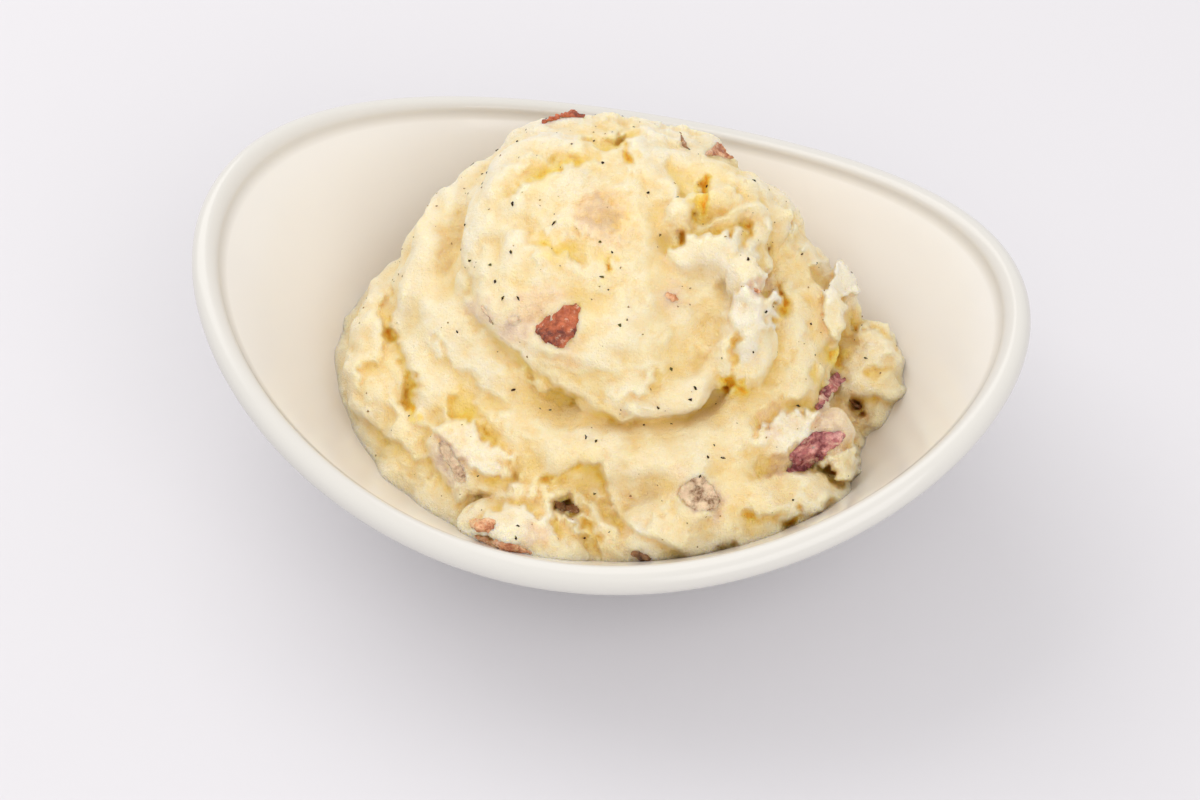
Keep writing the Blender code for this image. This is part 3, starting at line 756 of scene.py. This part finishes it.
def heap_field():
    """Distance to the finished surface of the heap in every cell, and the seen face."""
    block = Block()
    body = heap_body(block)
    cells = np.flatnonzero((body > DETAIL_FROM) & (body < DETAIL_TO))
    right, away, height = (p.ravel()[cells] for p in block.place)
    across, up, _ = seen_places(right, away, height)
    shown = facing(body, cells)
    face = Face()
    front_height = face.at(face.height, across, up)
    back_across, back_up, _ = seen_places(right, -away, height)
    back_height = face.at(face.height, back_across, back_up)
    rough = shown * face.at(face.rough, across, up)
    rough += (1 - shown) * face.at(face.rough, back_across, back_up)
    body = body.ravel()
    near_body = body[cells]
    field = near_body - shown * front_height - (1 - shown) * BACK_SHARE * back_height
    ragged_across = across + face.at(face.shift[0], across, up)
    ragged_up = up + face.at(face.shift[1], across, up)
    add_flaps(near_body, field, ragged_across, ragged_up, shown)
    for height, size, seed in RUFFLES:
        field += height * rough * block.noise(size, seed).ravel()[cells]
    for height, size, seed in LUMPS:
        lumps = lumpy_noise(block.shape, CELL, size, seed)
        field -= height * (SMOOTH_LUMPS + (1 - SMOOTH_LUMPS) * rough) * lumps.ravel()[cells]
    body[cells] = field
    field = body.reshape(block.shape)
    turn_cos = math.cos(CAMERA_TURN)
    turn_sin = math.sin(CAMERA_TURN)
    right, away, height = block.place
    x = turn_cos * right[:, :, 0] - turn_sin * away[:, :, 0]
    y = turn_sin * right[:, :, 0] + turn_cos * away[:, :, 0]
    above = (height - cavity_height(x, y)[:, :, None]) * CUT_SLOPE
    return np.maximum(field, -SINK - above).astype(np.float32), face


def sample(grid, points):
    """Values of a grid at points of the heap's frame, in millimetres."""
    place = (points - np.array(BLOCK_LOW)) / CELL
    place = np.clip(place, 0, np.array(grid.shape) - 1.001)
    index = place.astype(int)
    part = place - index
    out = 0
    for corner in range(8):
        step = np.array([corner & 1, (corner >> 1) & 1, corner >> 2])
        weight = np.prod(np.where(step, part, 1 - part), axis=1)
        at = index + step
        out = out + weight * grid[at[:, 0], at[:, 1], at[:, 2]]
    return out


def to_bowl_frame(points):
    """Turns heap points in millimetres into metres of the model's frame."""
    turn = np.array(Matrix.Rotation(CAMERA_TURN, 3, "Z"))
    return points @ turn.T * MM


def add_object(name, data):
    made = bpy.data.objects.new(name, data)
    bpy.context.scene.collection.objects.link(made)
    return made


def make_object(name, vertices, faces):
    mesh = bpy.data.meshes.new(name)
    mesh.from_pydata(np.asarray(vertices).tolist(), [], faces)
    mesh.validate()
    mesh.shade_smooth()
    return add_object(name, mesh)


def from_shape(name, shape):
    """An object made of a finished bmesh."""
    mesh = bpy.data.meshes.new(name)
    shape.to_mesh(mesh)
    shape.free()
    return add_object(name, mesh)


def main_island(points, quads):
    """The largest connected island of a mesh of quads."""
    pairs = np.concatenate([quads[:, (0, 1)], quads[:, (1, 2)], quads[:, (2, 3)]])
    label = np.arange(len(points))
    settled = False
    while not settled:
        ends = label[pairs]
        lowest = ends.min(axis=1)
        lower = label.copy()
        np.minimum.at(lower, ends[:, 0], lowest)
        np.minimum.at(lower, ends[:, 1], lowest)
        lower = lower[lower]
        settled = np.array_equal(lower, label)
        label = lower
    kept = label == np.bincount(label).argmax()
    number = np.cumsum(kept) - 1
    return points[kept], number[quads[kept[quads[:, 0]]]]


def make_heap(mash_material):
    """The heap's mesh, with the layers that its colour depends on."""
    field, face = heap_field()
    grid = openvdb.FloatGrid(GRID_REACH)
    grid.copyFromArray(np.clip(field, -GRID_REACH, GRID_REACH))
    points, _, quads = grid.convertToPolygons(isovalue=0.0, adaptivity=0.0)
    points, quads = main_island(points * CELL + np.array(BLOCK_LOW), quads)
    heap = make_object("mash_heap", to_bowl_frame(points), quads.tolist())
    across, up, _ = seen_places(*points.T)
    clipped = np.clip(field, -HOLLOW_LIMIT, HOLLOW_LIMIT)
    # The yellow layer and the hollows below give the mash's colour its painted shade, besides its
    # own patchy tone
    layers = {"yellow": face.at(face.yellow, across, up), "stain": face.at(face.stain, across, up)}
    for name, reach in HOLLOWS.items():
        mean = box_blur(box_blur(clipped, int(reach / CELL)), int(reach / CELL))
        layers[name] = sample(mean, points)
    for name, values in layers.items():
        layer = heap.data.attributes.new(name, "FLOAT", "POINT")
        layer.data.foreach_set("value", values.astype(np.float32))
    thin_out = heap.modifiers.new("fewer faces", "DECIMATE")
    thin_out.ratio = HEAP_FACES / (2 * len(quads))
    heap.data.materials.append(mash_material)
    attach(heap, "root")
    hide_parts("mash")
    return heap


def camera_axes():
    """Right, up and towards the camera, in the model's frame."""
    turn = CAMERA_TURN
    level = CAMERA_ELEVATION
    towards = Vector((math.sin(turn) * math.cos(level), -math.cos(turn) * math.cos(level),
                      math.sin(level)))
    right = Vector((math.cos(turn), math.sin(turn), 0))
    return right, towards.cross(right), towards


def look_at_heap(surface, across, up):
    """Where the camera's ray through a seen place meets the heap, and the slope there."""
    right, upward, towards = camera_axes()
    target = Vector((0, 0, TARGET_HEIGHT * MM))
    eye = target + towards * CAMERA_DISTANCE * MM
    aim = target + (right * across + upward * up) * MM
    place, slope, _, _ = surface.ray_cast(eye, (aim - eye).normalized())
    return place, slope


# Potato skins: the node each replaces, its look, how far it stands up, and its outline as
# seen pixels
SKINS = {
    "skin_crown_front": ("red", 0.3, (
        (532, 330), (541, 320), (550, 314), (559, 307), (568, 304), (580, 305), (579, 322),
        (575, 334), (563, 348), (548, 344), (540, 339))),
    "skin_top_left": ("red", 1.0, (
        (542, 122), (549, 114), (562, 111), (576, 111), (589, 112), (580, 118), (562, 119),
        (551, 121))),
    "skin_top_right": ("orange", 1.2, (
        (702, 156), (711, 150), (719, 144), (727, 151), (735, 159), (724, 158), (712, 158))),
    "skin_right_upper": ("purple", 0.5, (
        (838, 373), (848, 380), (836, 388), (829, 400), (820, 410), (814, 407), (820, 392),
        (828, 380))),
    "skin_right_lower": ("purple", 0.5, (
        (812, 432), (829, 430), (845, 431), (844, 441), (829, 453), (816, 465), (800, 472),
        (786, 472), (791, 463), (788, 453), (800, 443))),
    "skin_front_knob": ("mauve", 0.5, (
        (678, 490), (688, 480), (700, 475), (710, 482), (721, 499), (714, 509), (702, 512),
        (690, 508), (680, 499))),
    "skin_left": ("mauve", 0.4, (
        (438, 440), (446, 441), (454, 454), (466, 474), (462, 485), (449, 469), (440, 454))),
    "skin_front_left": ("orange", 0.8, (
        (467, 522), (477, 518), (495, 519), (495, 530), (488, 534), (475, 532))),
    "skin_front_left_edge": ("orange", 0.6, (
        (474, 535), (488, 538), (508, 541), (522, 545), (534, 555), (518, 554), (498, 552),
        (486, 547))),
}
# Dark, middle and pale colour of each kind of skin
SKIN_COLOURS = {
    "red": ((0.12, 0.02, 0.01), (0.41, 0.085, 0.028), (0.62, 0.17, 0.065)),
    "purple": ((0.15, 0.024, 0.032), (0.48, 0.15, 0.15), (0.80, 0.42, 0.37)),
    "orange": ((0.38, 0.11, 0.04), (0.72, 0.34, 0.16), (0.92, 0.61, 0.36)),
    "mauve": ((0.22, 0.11, 0.045), (0.68, 0.49, 0.32), (0.83, 0.65, 0.44)),
    "brown_and_hole_shade": ((0.08, 0.03, 0.01), (0.26, 0.11, 0.04), (0.42, 0.22, 0.09)),
}
# Crumbs of skin, too small to be pieces of their own, by look: outlines as seen pixels. The
# first and the last brown ones lie in the dark hole and the blob's hole: dark sheets that
# paint the shade in those holes
CRUMBS = {
    "brown_and_hole_shade": (
        # Painted shade: this crumb fills the dark hole
        ((551, 495), (560, 501), (571, 502), (580, 507), (576, 514), (564, 513), (555, 508)),
        ((632, 549), (642, 551), (652, 559), (640, 562), (631, 557)),
        ((677, 132), (680, 131), (684, 138), (692, 150), (688, 151), (681, 143)),
        # Painted shade: this crumb fills the blob's hole
        ((847, 399), (857, 402), (866, 408), (856, 408))),
    "orange": (
        ((666, 291), (674, 292), (679, 300), (671, 304), (666, 298)),
        ((753, 287), (760, 288), (767, 293), (761, 295), (754, 292))),
    "mauve": (
        ((478, 302), (484, 305), (492, 317), (495, 328), (487, 319), (480, 311)),
        ((508, 318), (516, 314), (522, 320), (514, 328), (508, 325))),
}
CRUMB_RISE = 0.3
SKIN_STEP = 0.32
SKIN_THICKNESS = 1.0
# Waves of a skin's edge and its wrinkles: height, size and first seed
SKIN_RAGGED = (0.3, 1.6, 200)
SKIN_FINE_WRINKLE = (0.35, 1.5, 230)
SKIN_BROAD_WRINKLE = (0.3, 3.5, 260)
# How much of the wrinkles is left at its edge
SKIN_EDGE_WRINKLE = 0.3
# How far a skin stands off the heap at its edge, where it sinks in, and how much more inside
SKIN_EDGE_LIFT = -0.15
SKIN_LIFT = 0.55
# A skin stops where the heap falls away by this much from one of its cells to the next,
# and bridges smaller hollows, worked out in this many rounds
SKIN_FALL = 12.0
SKIN_BRIDGE = 20
# How deep the skins lie in the mash, and how high it stands round them
BED_DEPTH = 0.3
BED_EDGE = 0.8
BED_RIM = 0.35
BED_RIM_WIDTH = 0.7
BED_RIM_LEAST = 0.7
BED_RIM_UNEVEN = 0.5


def neighbours(cell, cells):
    """The cells beside a cell."""
    i, j = cell
    return [near for near in ((i + 1, j), (i - 1, j), (i, j + 1), (i, j - 1)) if near in cells]


def bridged(depths, middle):
    """Depths of the cells that join the middle one, with the hollows between them bridged."""
    start = min(depths, key=lambda cell: math.dist(cell, middle))
    joined = {start}
    waiting = [start]
    while waiting:
        cell = waiting.pop()
        for near in neighbours(cell, depths):
            if near not in joined and abs(depths[near] - depths[cell]) < SKIN_FALL * MM:
                joined.add(near)
                waiting.append(near)
    level = {cell: depths[cell] for cell in sorted(joined)}
    for _ in range(SKIN_BRIDGE):
        around = {cell: [level[near] for near in neighbours(cell, level)] for cell in level}
        level = {cell: max(depths[cell], sum(values) / max(len(values), 1))
                 for cell, values in around.items()}
    return level


def add_skin(shape, rise, outline, surface, number):
    """A torn sheet of skin that follows the heap under its outline."""
    line = smooth_line(seen(outline), 4, closed=True)
    low = line.min(0) - 1
    high = line.max(0) + 1
    columns = int((high[0] - low[0]) / SKIN_STEP) + 2
    rows = int((high[1] - low[1]) / SKIN_STEP) + 2
    across = low[0] + SKIN_STEP * np.arange(columns)
    up = low[1] + SKIN_STEP * np.arange(rows)
    across, up = np.meshgrid(across, up, indexing="ij")
    ragged, fine, broad = (
        height * noise((columns, rows), SKIN_STEP, size, seed + number)
        for noise, (height, size, seed) in ((soft_noise, SKIN_RAGGED),
                                            (lumpy_noise, SKIN_FINE_WRINKLE),
                                            (soft_noise, SKIN_BROAD_WRINKLE)))
    wrinkle = fine + broad
    inside = depth_inside(across, up, line) + ragged
    _, upward, towards = camera_axes()
    places = {}
    for cell in np.argwhere(inside > -0.4 * SKIN_STEP):
        place, slope = look_at_heap(surface, across[tuple(cell)], up[tuple(cell)])
        if place is not None:
            places[tuple(cell)] = place, slope
    depths = {cell: place.dot(towards) for cell, (place, _) in places.items()}
    corners = {}
    for cell, depth in bridged(depths, ((line.mean(0) - low) / SKIN_STEP).tolist()).items():
        place, slope = places[cell]
        place = place + towards * (depth - depths[cell])
        edge = min(max(inside[cell], 0.0), 1.0)
        wrinkled = SKIN_EDGE_WRINKLE + (1 - SKIN_EDGE_WRINKLE) * edge
        lift = SKIN_EDGE_LIFT + SKIN_LIFT * edge + wrinkled * wrinkle[cell]
        stand = max(rise - 0.5, 0.0) * ease((up[cell] - low[1]) / (high[1] - low[1]))
        corners[cell] = shape.verts.new(place + (slope * lift + upward * stand) * MM)
    for (i, j), corner in corners.items():
        others = [corners.get(at) for at in ((i + 1, j), (i + 1, j + 1), (i, j + 1))]
        if all(others):
            shape.faces.new((corner, *others))
    loose = [v for v in shape.verts if not v.link_faces]
    bmesh.ops.delete(shape, geom=loose, context="VERTS")
    shape.normal_update()
    for face in shape.faces:
        if face.normal.dot(towards) < 0:
            face.normal_flip()


def finish_skin(name, shape, finish):
    """Makes a piece of sheets of skin, with their thickness."""
    skin = from_shape(name, shape)
    solidify = skin.modifiers.new("thickness", "SOLIDIFY")
    solidify.thickness = SKIN_THICKNESS * MM
    solidify.offset = -1
    round_off = skin.modifiers.new("round", "SUBSURF")
    round_off.levels = 1
    round_off.render_levels = 1
    skin.data.shade_smooth()
    skin.data.materials.append(finish)
    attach(skin, "root")
    return skin


def make_skins(surface):
    finishes = {kind: skin_look(kind) for kind in SKIN_COLOURS}
    for number, (name, (kind, rise, outline)) in enumerate(SKINS.items()):
        shape = bmesh.new()
        add_skin(shape, rise, outline, surface, number)
        skin = finish_skin(name + "_torn", shape, finishes[kind])
        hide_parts(name)
    for kind, outlines in CRUMBS.items():
        shape = bmesh.new()
        for number, outline in enumerate(outlines, len(SKINS)):
            add_skin(shape, CRUMB_RISE, outline, surface, number)
        finish_skin(kind + "_crumbs", shape, finishes[kind])


# Ground pepper: seen pixels of the specks that show, and how many lie out of sight
PEPPER = (
    (511, 252), (470, 261), (495, 282), (465, 225), (513, 204), (482, 174), (518, 298),
    (503, 298), (603, 163), (594, 141), (572, 144), (648, 193), (707, 186), (600, 242),
    (602, 277), (608, 290), (627, 320), (620, 325), (671, 369), (748, 259), (802, 254),
    (766, 312), (753, 352), (722, 358), (811, 324), (695, 388), (690, 400), (658, 408),
    (513, 390), (550, 410), (596, 441), (586, 437), (714, 445), (708, 457), (723, 458),
    (700, 477), (793, 500), (798, 406), (644, 425), (672, 424), (595, 494), (585, 538),
    (516, 538), (518, 526), (478, 476), (609, 532), (457, 332), (409, 416), (815, 355),
    (866, 358), (554, 223), (490, 265), (612, 252), (660, 235),
)
PEPPER_OUT_OF_SIGHT = 70
PEPPER_SIZE = (0.22, 0.50)
PEPPER_LOWEST = 35.0
HERB_SHARE = 0.2
# Fine brown dust of the pepper, over the whole heap
DUST_COUNT = 260
DUST_SIZE = (0.12, 0.26)
DUST_LOWEST = 25.0
SPECK_SEED = 77
# Shape of a grain, as shares of its size: length, width and height, then its tilt in radians
# and how uneven it is
GRAIN_LENGTH = (0.9, 1.5)
GRAIN_WIDTH = (0.6, 1.0)
GRAIN_HEIGHT = 0.55
GRAIN_TILT = 0.3
GRAIN_UNEVEN = 0.42
# The look of each kind of speck and its colour
SPECKS = {
    "ground_pepper": ("pepper", (0.022, 0.013, 0.007)),
    "herb_flecks": ("herb", (0.06, 0.05, 0.016)),
    "pepper_dust": ("dust", (0.20, 0.12, 0.05)),
}


def speck(shape, place, slope, size, random):
    """An uneven grain, half sunk in the surface."""
    axis = Vector(random.normal(size=3)).normalized()
    long_way = size * random.uniform(*GRAIN_LENGTH)
    short_way = size * random.uniform(*GRAIN_WIDTH)
    stretch = Matrix.Diagonal((long_way, short_way, size * GRAIN_HEIGHT, 1.0))
    lie = slope.to_track_quat("Z", "Y").to_matrix().to_4x4()
    spin = Matrix.Rotation(random.uniform(0, math.tau), 4, "Z")
    tilt = Matrix.Rotation(GRAIN_TILT, 4, axis)
    matrix = Matrix.Translation(place) @ lie @ spin @ tilt @ stretch
    made = bmesh.ops.create_icosphere(shape, subdivisions=1, radius=MM, matrix=matrix)
    for vertex in made["verts"]:
        vertex.co += Vector(random.uniform(-1, 1, 3)) * GRAIN_UNEVEN * size * MM


def make_specks(heap, surface):
    """Pepper and herbs where the photo shows them, more of them out of sight, and dust."""
    random = np.random.default_rng(SPECK_SEED)
    spots = []
    for across, up in seen(PEPPER):
        place, slope = look_at_heap(surface, across, up)
        if place is not None:
            spots.append((place, slope))
    towards = camera_axes()[2]
    hidden = [v for v in heap.data.vertices
              if v.normal.dot(towards) < 0.05 and v.normal.z > 0.0 and v.co.z > PEPPER_LOWEST * MM]
    for index in random.choice(len(hidden), PEPPER_OUT_OF_SIGHT, replace=False):
        spots.append((hidden[index].co.copy(), hidden[index].normal.copy()))
    shapes = {name: bmesh.new() for name in SPECKS}
    for place, slope in spots:
        kind = "herb_flecks" if random.uniform() < HERB_SHARE else "ground_pepper"
        size = random.uniform(*PEPPER_SIZE)
        speck(shapes[kind], place, slope, size, random)
    open_sky = [v for v in heap.data.vertices if v.normal.z > -0.1 and v.co.z > DUST_LOWEST * MM]
    for index in random.choice(len(open_sky), DUST_COUNT, replace=False):
        place = open_sky[index].co.copy()
        speck(shapes["pepper_dust"], place, open_sky[index].normal.copy(),
              random.uniform(*DUST_SIZE), random)
    for name, (look, colour) in SPECKS.items():
        specks = from_shape(name, shapes[name])
        specks.data.materials.append(speck_look(look, colour))
        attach(specks, "root")


def make_bowl(glaze):
    """The turned profile pulled oval, with its ends rising."""
    inside = [(0.0, FLOOR_HEIGHT)] + bezier(INNER_WALL, WALL_STEPS)[:-1].tolist()
    lip = []
    for angle in np.radians(np.linspace(LIP_TO, LIP_FROM, LIP_STEPS + 1)):
        lip.append((TURNED_RADIUS + LIP_RADIUS * math.cos(angle),
                    LIP_HEIGHT + LIP_RADIUS * math.sin(angle)))
    outside = bezier(OUTER_WALL[::-1], WALL_STEPS)[1:].tolist()
    foot = [(FOOT_OUTER + FOOT_BEVEL, FOOT_EDGE), (FOOT_OUTER, 0.0), (FOOT_INNER, 0.0),
            (FOOT_INNER - FOOT_EDGE, FOOT_RECESS), (0.0, FOOT_RECESS)]
    profile = inside + lip + outside + foot
    around = np.arange(BOWL_SEGMENTS) * math.tau / BOWL_SEGMENTS
    vertices = []
    for across, height in profile:
        rise = LIP_RISE * np.cos(2 * around) * float(outward_part(across)) ** RISE_POWER
        reach = min(across / TURNED_RADIUS, 1.0)
        long_way = across + (BOWL_HALF_LENGTH - TURNED_RADIUS) * reach
        short_way = across + (BOWL_HALF_WIDTH - TURNED_RADIUS) * reach
        ring = np.stack([long_way * np.cos(around), short_way * np.sin(around), height + rise], 1)
        vertices.append(ring * MM)
    vertices = np.vstack(vertices)
    faces = []
    for i in range(len(profile) - 1):
        for j in range(BOWL_SEGMENTS):
            k = (j + 1) % BOWL_SEGMENTS
            row = i * BOWL_SEGMENTS
            faces.append((row + j, row + BOWL_SEGMENTS + j, row + BOWL_SEGMENTS + k, row + k))
    bowl = make_object("glazed_bowl", vertices, faces)
    # Rows of the lip, where the glaze is darkened with painted shade
    lip_rows = [0.0] * len(inside) + [1.0] * len(lip) + [0.0] * (len(outside) + len(foot))
    on_lip = bowl.data.attributes.new("lip", "FLOAT", "POINT")
    on_lip.data.foreach_set("value", np.repeat(lip_rows, BOWL_SEGMENTS).astype(np.float32))
    shape = bmesh.new()
    shape.from_mesh(bowl.data)
    bmesh.ops.remove_doubles(shape, verts=shape.verts, dist=0.00001)
    bmesh.ops.recalc_face_normals(shape, faces=shape.faces)
    shape.to_mesh(bowl.data)
    shape.free()
    bowl.data.shade_smooth()
    bowl.data.materials.append(glaze)
    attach(bowl, "root")
    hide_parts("bowl")


class Nodes:
    """Adds shader nodes to a material and links them."""

    def __init__(self, name):
        self.material = bpy.data.materials.new(name)
        self.material.use_nodes = True
        self.tree = self.material.node_tree
        self.shader = self.tree.nodes["Principled BSDF"]

    def fill(self, node, values):
        """Sets or links inputs of a node."""
        for key, value in values.items():
            socket = node.inputs[key]
            if isinstance(value, bpy.types.NodeSocket):
                self.tree.links.new(value, socket)
            elif socket.type == "RGBA":
                socket.default_value = (*value, 1.0)
            else:
                socket.default_value = value

    def add(self, kind, values, **settings):
        node = self.tree.nodes.new(kind)
        for key, value in settings.items():
            setattr(node, key, value)
        self.fill(node, values)
        return node

    def noise(self, scale, detail=3.0, rough=0.55):
        place = self.add("ShaderNodeTexCoord", {}).outputs["Object"]
        node = self.add("ShaderNodeTexNoise", {"Vector": place, "Scale": scale, "Detail": detail,
                                               "Roughness": rough})
        return node.outputs["Fac"]

    def attribute(self, name):
        return self.add("ShaderNodeAttribute", {}, attribute_name=name).outputs["Fac"]

    def map_range(self, value, low, high, to_low=0.0, to_high=1.0):
        node = self.add("ShaderNodeMapRange", {"Value": value, "From Min": low, "From Max": high,
                                               "To Min": to_low, "To Max": to_high})
        return node.outputs["Result"]

    def math(self, operation, a, b):
        return self.add("ShaderNodeMath", {0: a, 1: b}, operation=operation).outputs["Value"]

    def mix(self, amount, a, b):
        node = self.add("ShaderNodeMix", {"Factor": amount}, data_type="RGBA")
        first, second = [i for i, socket in enumerate(node.inputs) if socket.type == "RGBA"]
        self.fill(node, {first: a, second: b})
        return next(socket for socket in node.outputs if socket.type == "RGBA")

    def bump(self, height, distance, strength):
        node = self.add("ShaderNodeBump", {"Height": height, "Distance": distance,
                                           "Strength": strength})
        self.set({"Normal": node.outputs["Normal"]})

    def set(self, values):
        """Sets or links inputs of the surface's own shader."""
        self.fill(self.shader, values)


# Colours of the mash, from its palest to its deepest yellow: each takes over from the one
# before between two tones. The deeper ones are largely painted shade, in hollows, creases,
# holes and under lips, and partly the mash's own patchy tone
PALEST_MASH = (0.985, 0.85, 0.69)
MASH_COLOURS = (
    ((0.985, 0.785, 0.515), -0.55, -0.1),
    ((0.985, 0.708, 0.335), -0.1, 0.35),
    ((0.98, 0.685, 0.13), 0.35, 1.15),
    ((0.95, 0.47, 0.02), 1.0, 1.7),
)
MASH_STAIN = (0.64, 0.46, 0.34)
# Patches and flecks in the tone: scale and detail of the noise, and how much they change it
TONE_PATCHES = ((110.0, 4.0), (0.35, 0.65, -0.07, 0.12))
TONE_FLECKS = ((1500.0, 3.0), (0.3, 0.7, -0.12, 0.12))
# How much hollows, from shallow to deep, and the yellow places change the tone: painted shade,
# deeper yellow in hollows and paler on rises
SMALL_HOLLOW_SHADE = (0.15, -1.3, -0.10, 0.92)
LARGE_HOLLOW_SHADE = (0.9, -0.6, -0.10, 0.16)
YELLOW_STRENGTH = 0.45
FLESH = (0.86, 0.68, 0.48)
GLAZE_COLOURS = ((0.745, 0.728, 0.695), (0.735, 0.713, 0.676))
# Greyer glaze on the lip: painted shade that dims the lip, which faces the lights
LIP_PAINTED_SHADE = (0.606, 0.590, 0.558)
FLOOR_COLOURS = ((0.628, 0.618, 0.650), (0.618, 0.608, 0.640))
FLOOR_SIZE = 6.0


def mash_look():
    nodes = Nodes("creamy_mash")
    # The tone picks the colour: painted shade from the yellow layer and the hollows, paler on
    # rises, with random patches and flecks
    tone = nodes.math("MULTIPLY", nodes.attribute("yellow"), YELLOW_STRENGTH)
    for part in (nodes.map_range(nodes.attribute("hollow_small"), *SMALL_HOLLOW_SHADE),
                 nodes.map_range(nodes.attribute("hollow_large"), *LARGE_HOLLOW_SHADE),
                 nodes.map_range(nodes.noise(*TONE_PATCHES[0]), *TONE_PATCHES[1]),
                 nodes.map_range(nodes.noise(*TONE_FLECKS[0]), *TONE_FLECKS[1])):
        tone = nodes.math("ADD", tone, part)
    colour = PALEST_MASH
    for deeper, start, end in MASH_COLOURS:
        colour = nodes.mix(nodes.map_range(tone, start, end), colour, deeper)
    mottle = nodes.map_range(nodes.noise(380.0), 0.3, 0.6, 0.3, 1.0)
    stained = nodes.math("MULTIPLY", nodes.attribute("stain"), mottle)
    colour = nodes.mix(nodes.map_range(stained, 0.0, 1.0), colour, MASH_STAIN)
    nodes.set({"Base Color": colour, "Roughness": 0.34, "IOR": 1.4, "Specular IOR Level": 0.4,
               "Subsurface Weight": 0.9, "Subsurface Scale": 0.0030,
               "Subsurface Radius": (0.95, 0.85, 0.45),
               "Coat Weight": 0.2, "Coat Roughness": 0.22})
    grain = nodes.math("ADD", nodes.noise(900.0, rough=0.6), nodes.noise(2400.0, rough=0.6))
    nodes.bump(grain, 0.0012, 0.9)
    return nodes.material


def skin_look(kind):
    nodes = Nodes(kind + "_skin")
    dark, middle, pale = SKIN_COLOURS[kind]
    broad = nodes.map_range(nodes.noise(240.0), 0.44, 0.56)
    blotch = nodes.map_range(nodes.noise(600.0, 5.0, 0.7), 0.42, 0.6)
    colour = nodes.mix(broad, nodes.mix(blotch, dark, middle), nodes.mix(blotch, middle, pale))
    film = nodes.map_range(nodes.noise(330.0, 5.0, 0.75), 0.56, 0.70, 0.0, 0.85)
    nodes.set({"Base Color": nodes.mix(film, colour, FLESH), "Roughness": 0.24,
               "Subsurface Weight": 0.3, "Subsurface Scale": 0.0012})
    nodes.bump(nodes.noise(1100.0, 4.0, 0.7), 0.0009, 0.9)
    return nodes.material


def speck_look(name, colour):
    nodes = Nodes(name)
    tone = nodes.mix(nodes.noise(2500.0), colour, tuple(2.2 * c for c in colour))
    nodes.set({"Base Color": tone, "Roughness": 0.85, "Specular IOR Level": 0.15})
    return nodes.material


def glaze_look():
    nodes = Nodes("ivory_glaze")
    colour = nodes.mix(nodes.map_range(nodes.noise(14.0), 0.35, 0.65), *GLAZE_COLOURS)
    # Painted shade: the lip is darkened
    colour = nodes.mix(nodes.attribute("lip"), colour, LIP_PAINTED_SHADE)
    nodes.set({"Base Color": colour, "Roughness": 0.16, "IOR": 1.5})
    nodes.bump(nodes.noise(60.0, 2.0), 0.0004, 0.12)
    return nodes.material


def floor_look():
    nodes = Nodes("pale_floor")
    nodes.set({"Base Color": nodes.mix(nodes.noise(3.0), *FLOOR_COLOURS), "Roughness": 0.7})
    return nodes.material


def make_floor():
    bpy.ops.mesh.primitive_plane_add(size=FLOOR_SIZE)
    floor = bpy.context.object
    floor.name = "studio_floor"
    floor.data.materials.append(floor_look())


def make_camera():
    camera = add_object("camera", bpy.data.cameras.new("camera"))
    towards = camera_axes()[2]
    camera.location = Vector((0, 0, TARGET_HEIGHT * MM)) + towards * CAMERA_DISTANCE * MM
    camera.rotation_mode = "QUATERNION"
    camera.rotation_quaternion = (-towards).to_track_quat("-Z", "Y")
    camera.data.sensor_width = SENSOR_WIDTH
    camera.data.lens = SENSOR_WIDTH * PIXELS_PER_MM * CAMERA_DISTANCE / PHOTO_WIDTH
    camera.data.shift_x = (PHOTO_WIDTH / 2 - TARGET_X) / PHOTO_WIDTH
    camera.data.shift_y = (TARGET_Y - PHOTO_HEIGHT / 2) / PHOTO_WIDTH
    bpy.context.scene.camera = camera


# Lights: place and size in metres, power and colour
LIGHTS = {
    "window": ((-0.60, 0.42, 0.90), 1.1, 5.95, (1.0, 0.985, 0.96)),
    "fill": ((0.5, -0.8, 0.8), 1.0, 5.9, (1.0, 0.985, 0.965)),
}
ROOM_COLOUR = (1.0, 0.985, 0.97, 1.0)
ROOM_STRENGTH = 0.94


def area_light(name, place, size, power, colour):
    data = bpy.data.lights.new(name, "AREA")
    data.size = size
    data.energy = power
    data.color = colour
    light = add_object(name, data)
    light.location = place
    light.rotation_mode = "QUATERNION"
    aim = Vector(place) - Vector((0, 0, TARGET_HEIGHT * MM))
    light.rotation_quaternion = aim.to_track_quat("Z", "Y")


def make_light():
    for name, values in LIGHTS.items():
        area_light(name, *values)
    world = bpy.data.worlds.new("studio")
    world.use_nodes = True
    background = world.node_tree.nodes["Background"]
    background.inputs["Color"].default_value = ROOM_COLOUR
    background.inputs["Strength"].default_value = ROOM_STRENGTH
    bpy.context.scene.world = world
    bpy.context.scene.view_settings.view_transform = "Standard"


def main():
    make_camera()
    make_light()
    make_floor()
    make_bowl(glaze_look())
    heap = make_heap(mash_look())
    surface = BVHTree.FromObject(heap, bpy.context.evaluated_depsgraph_get())
    make_skins(surface)
    make_specks(heap, surface)


main()
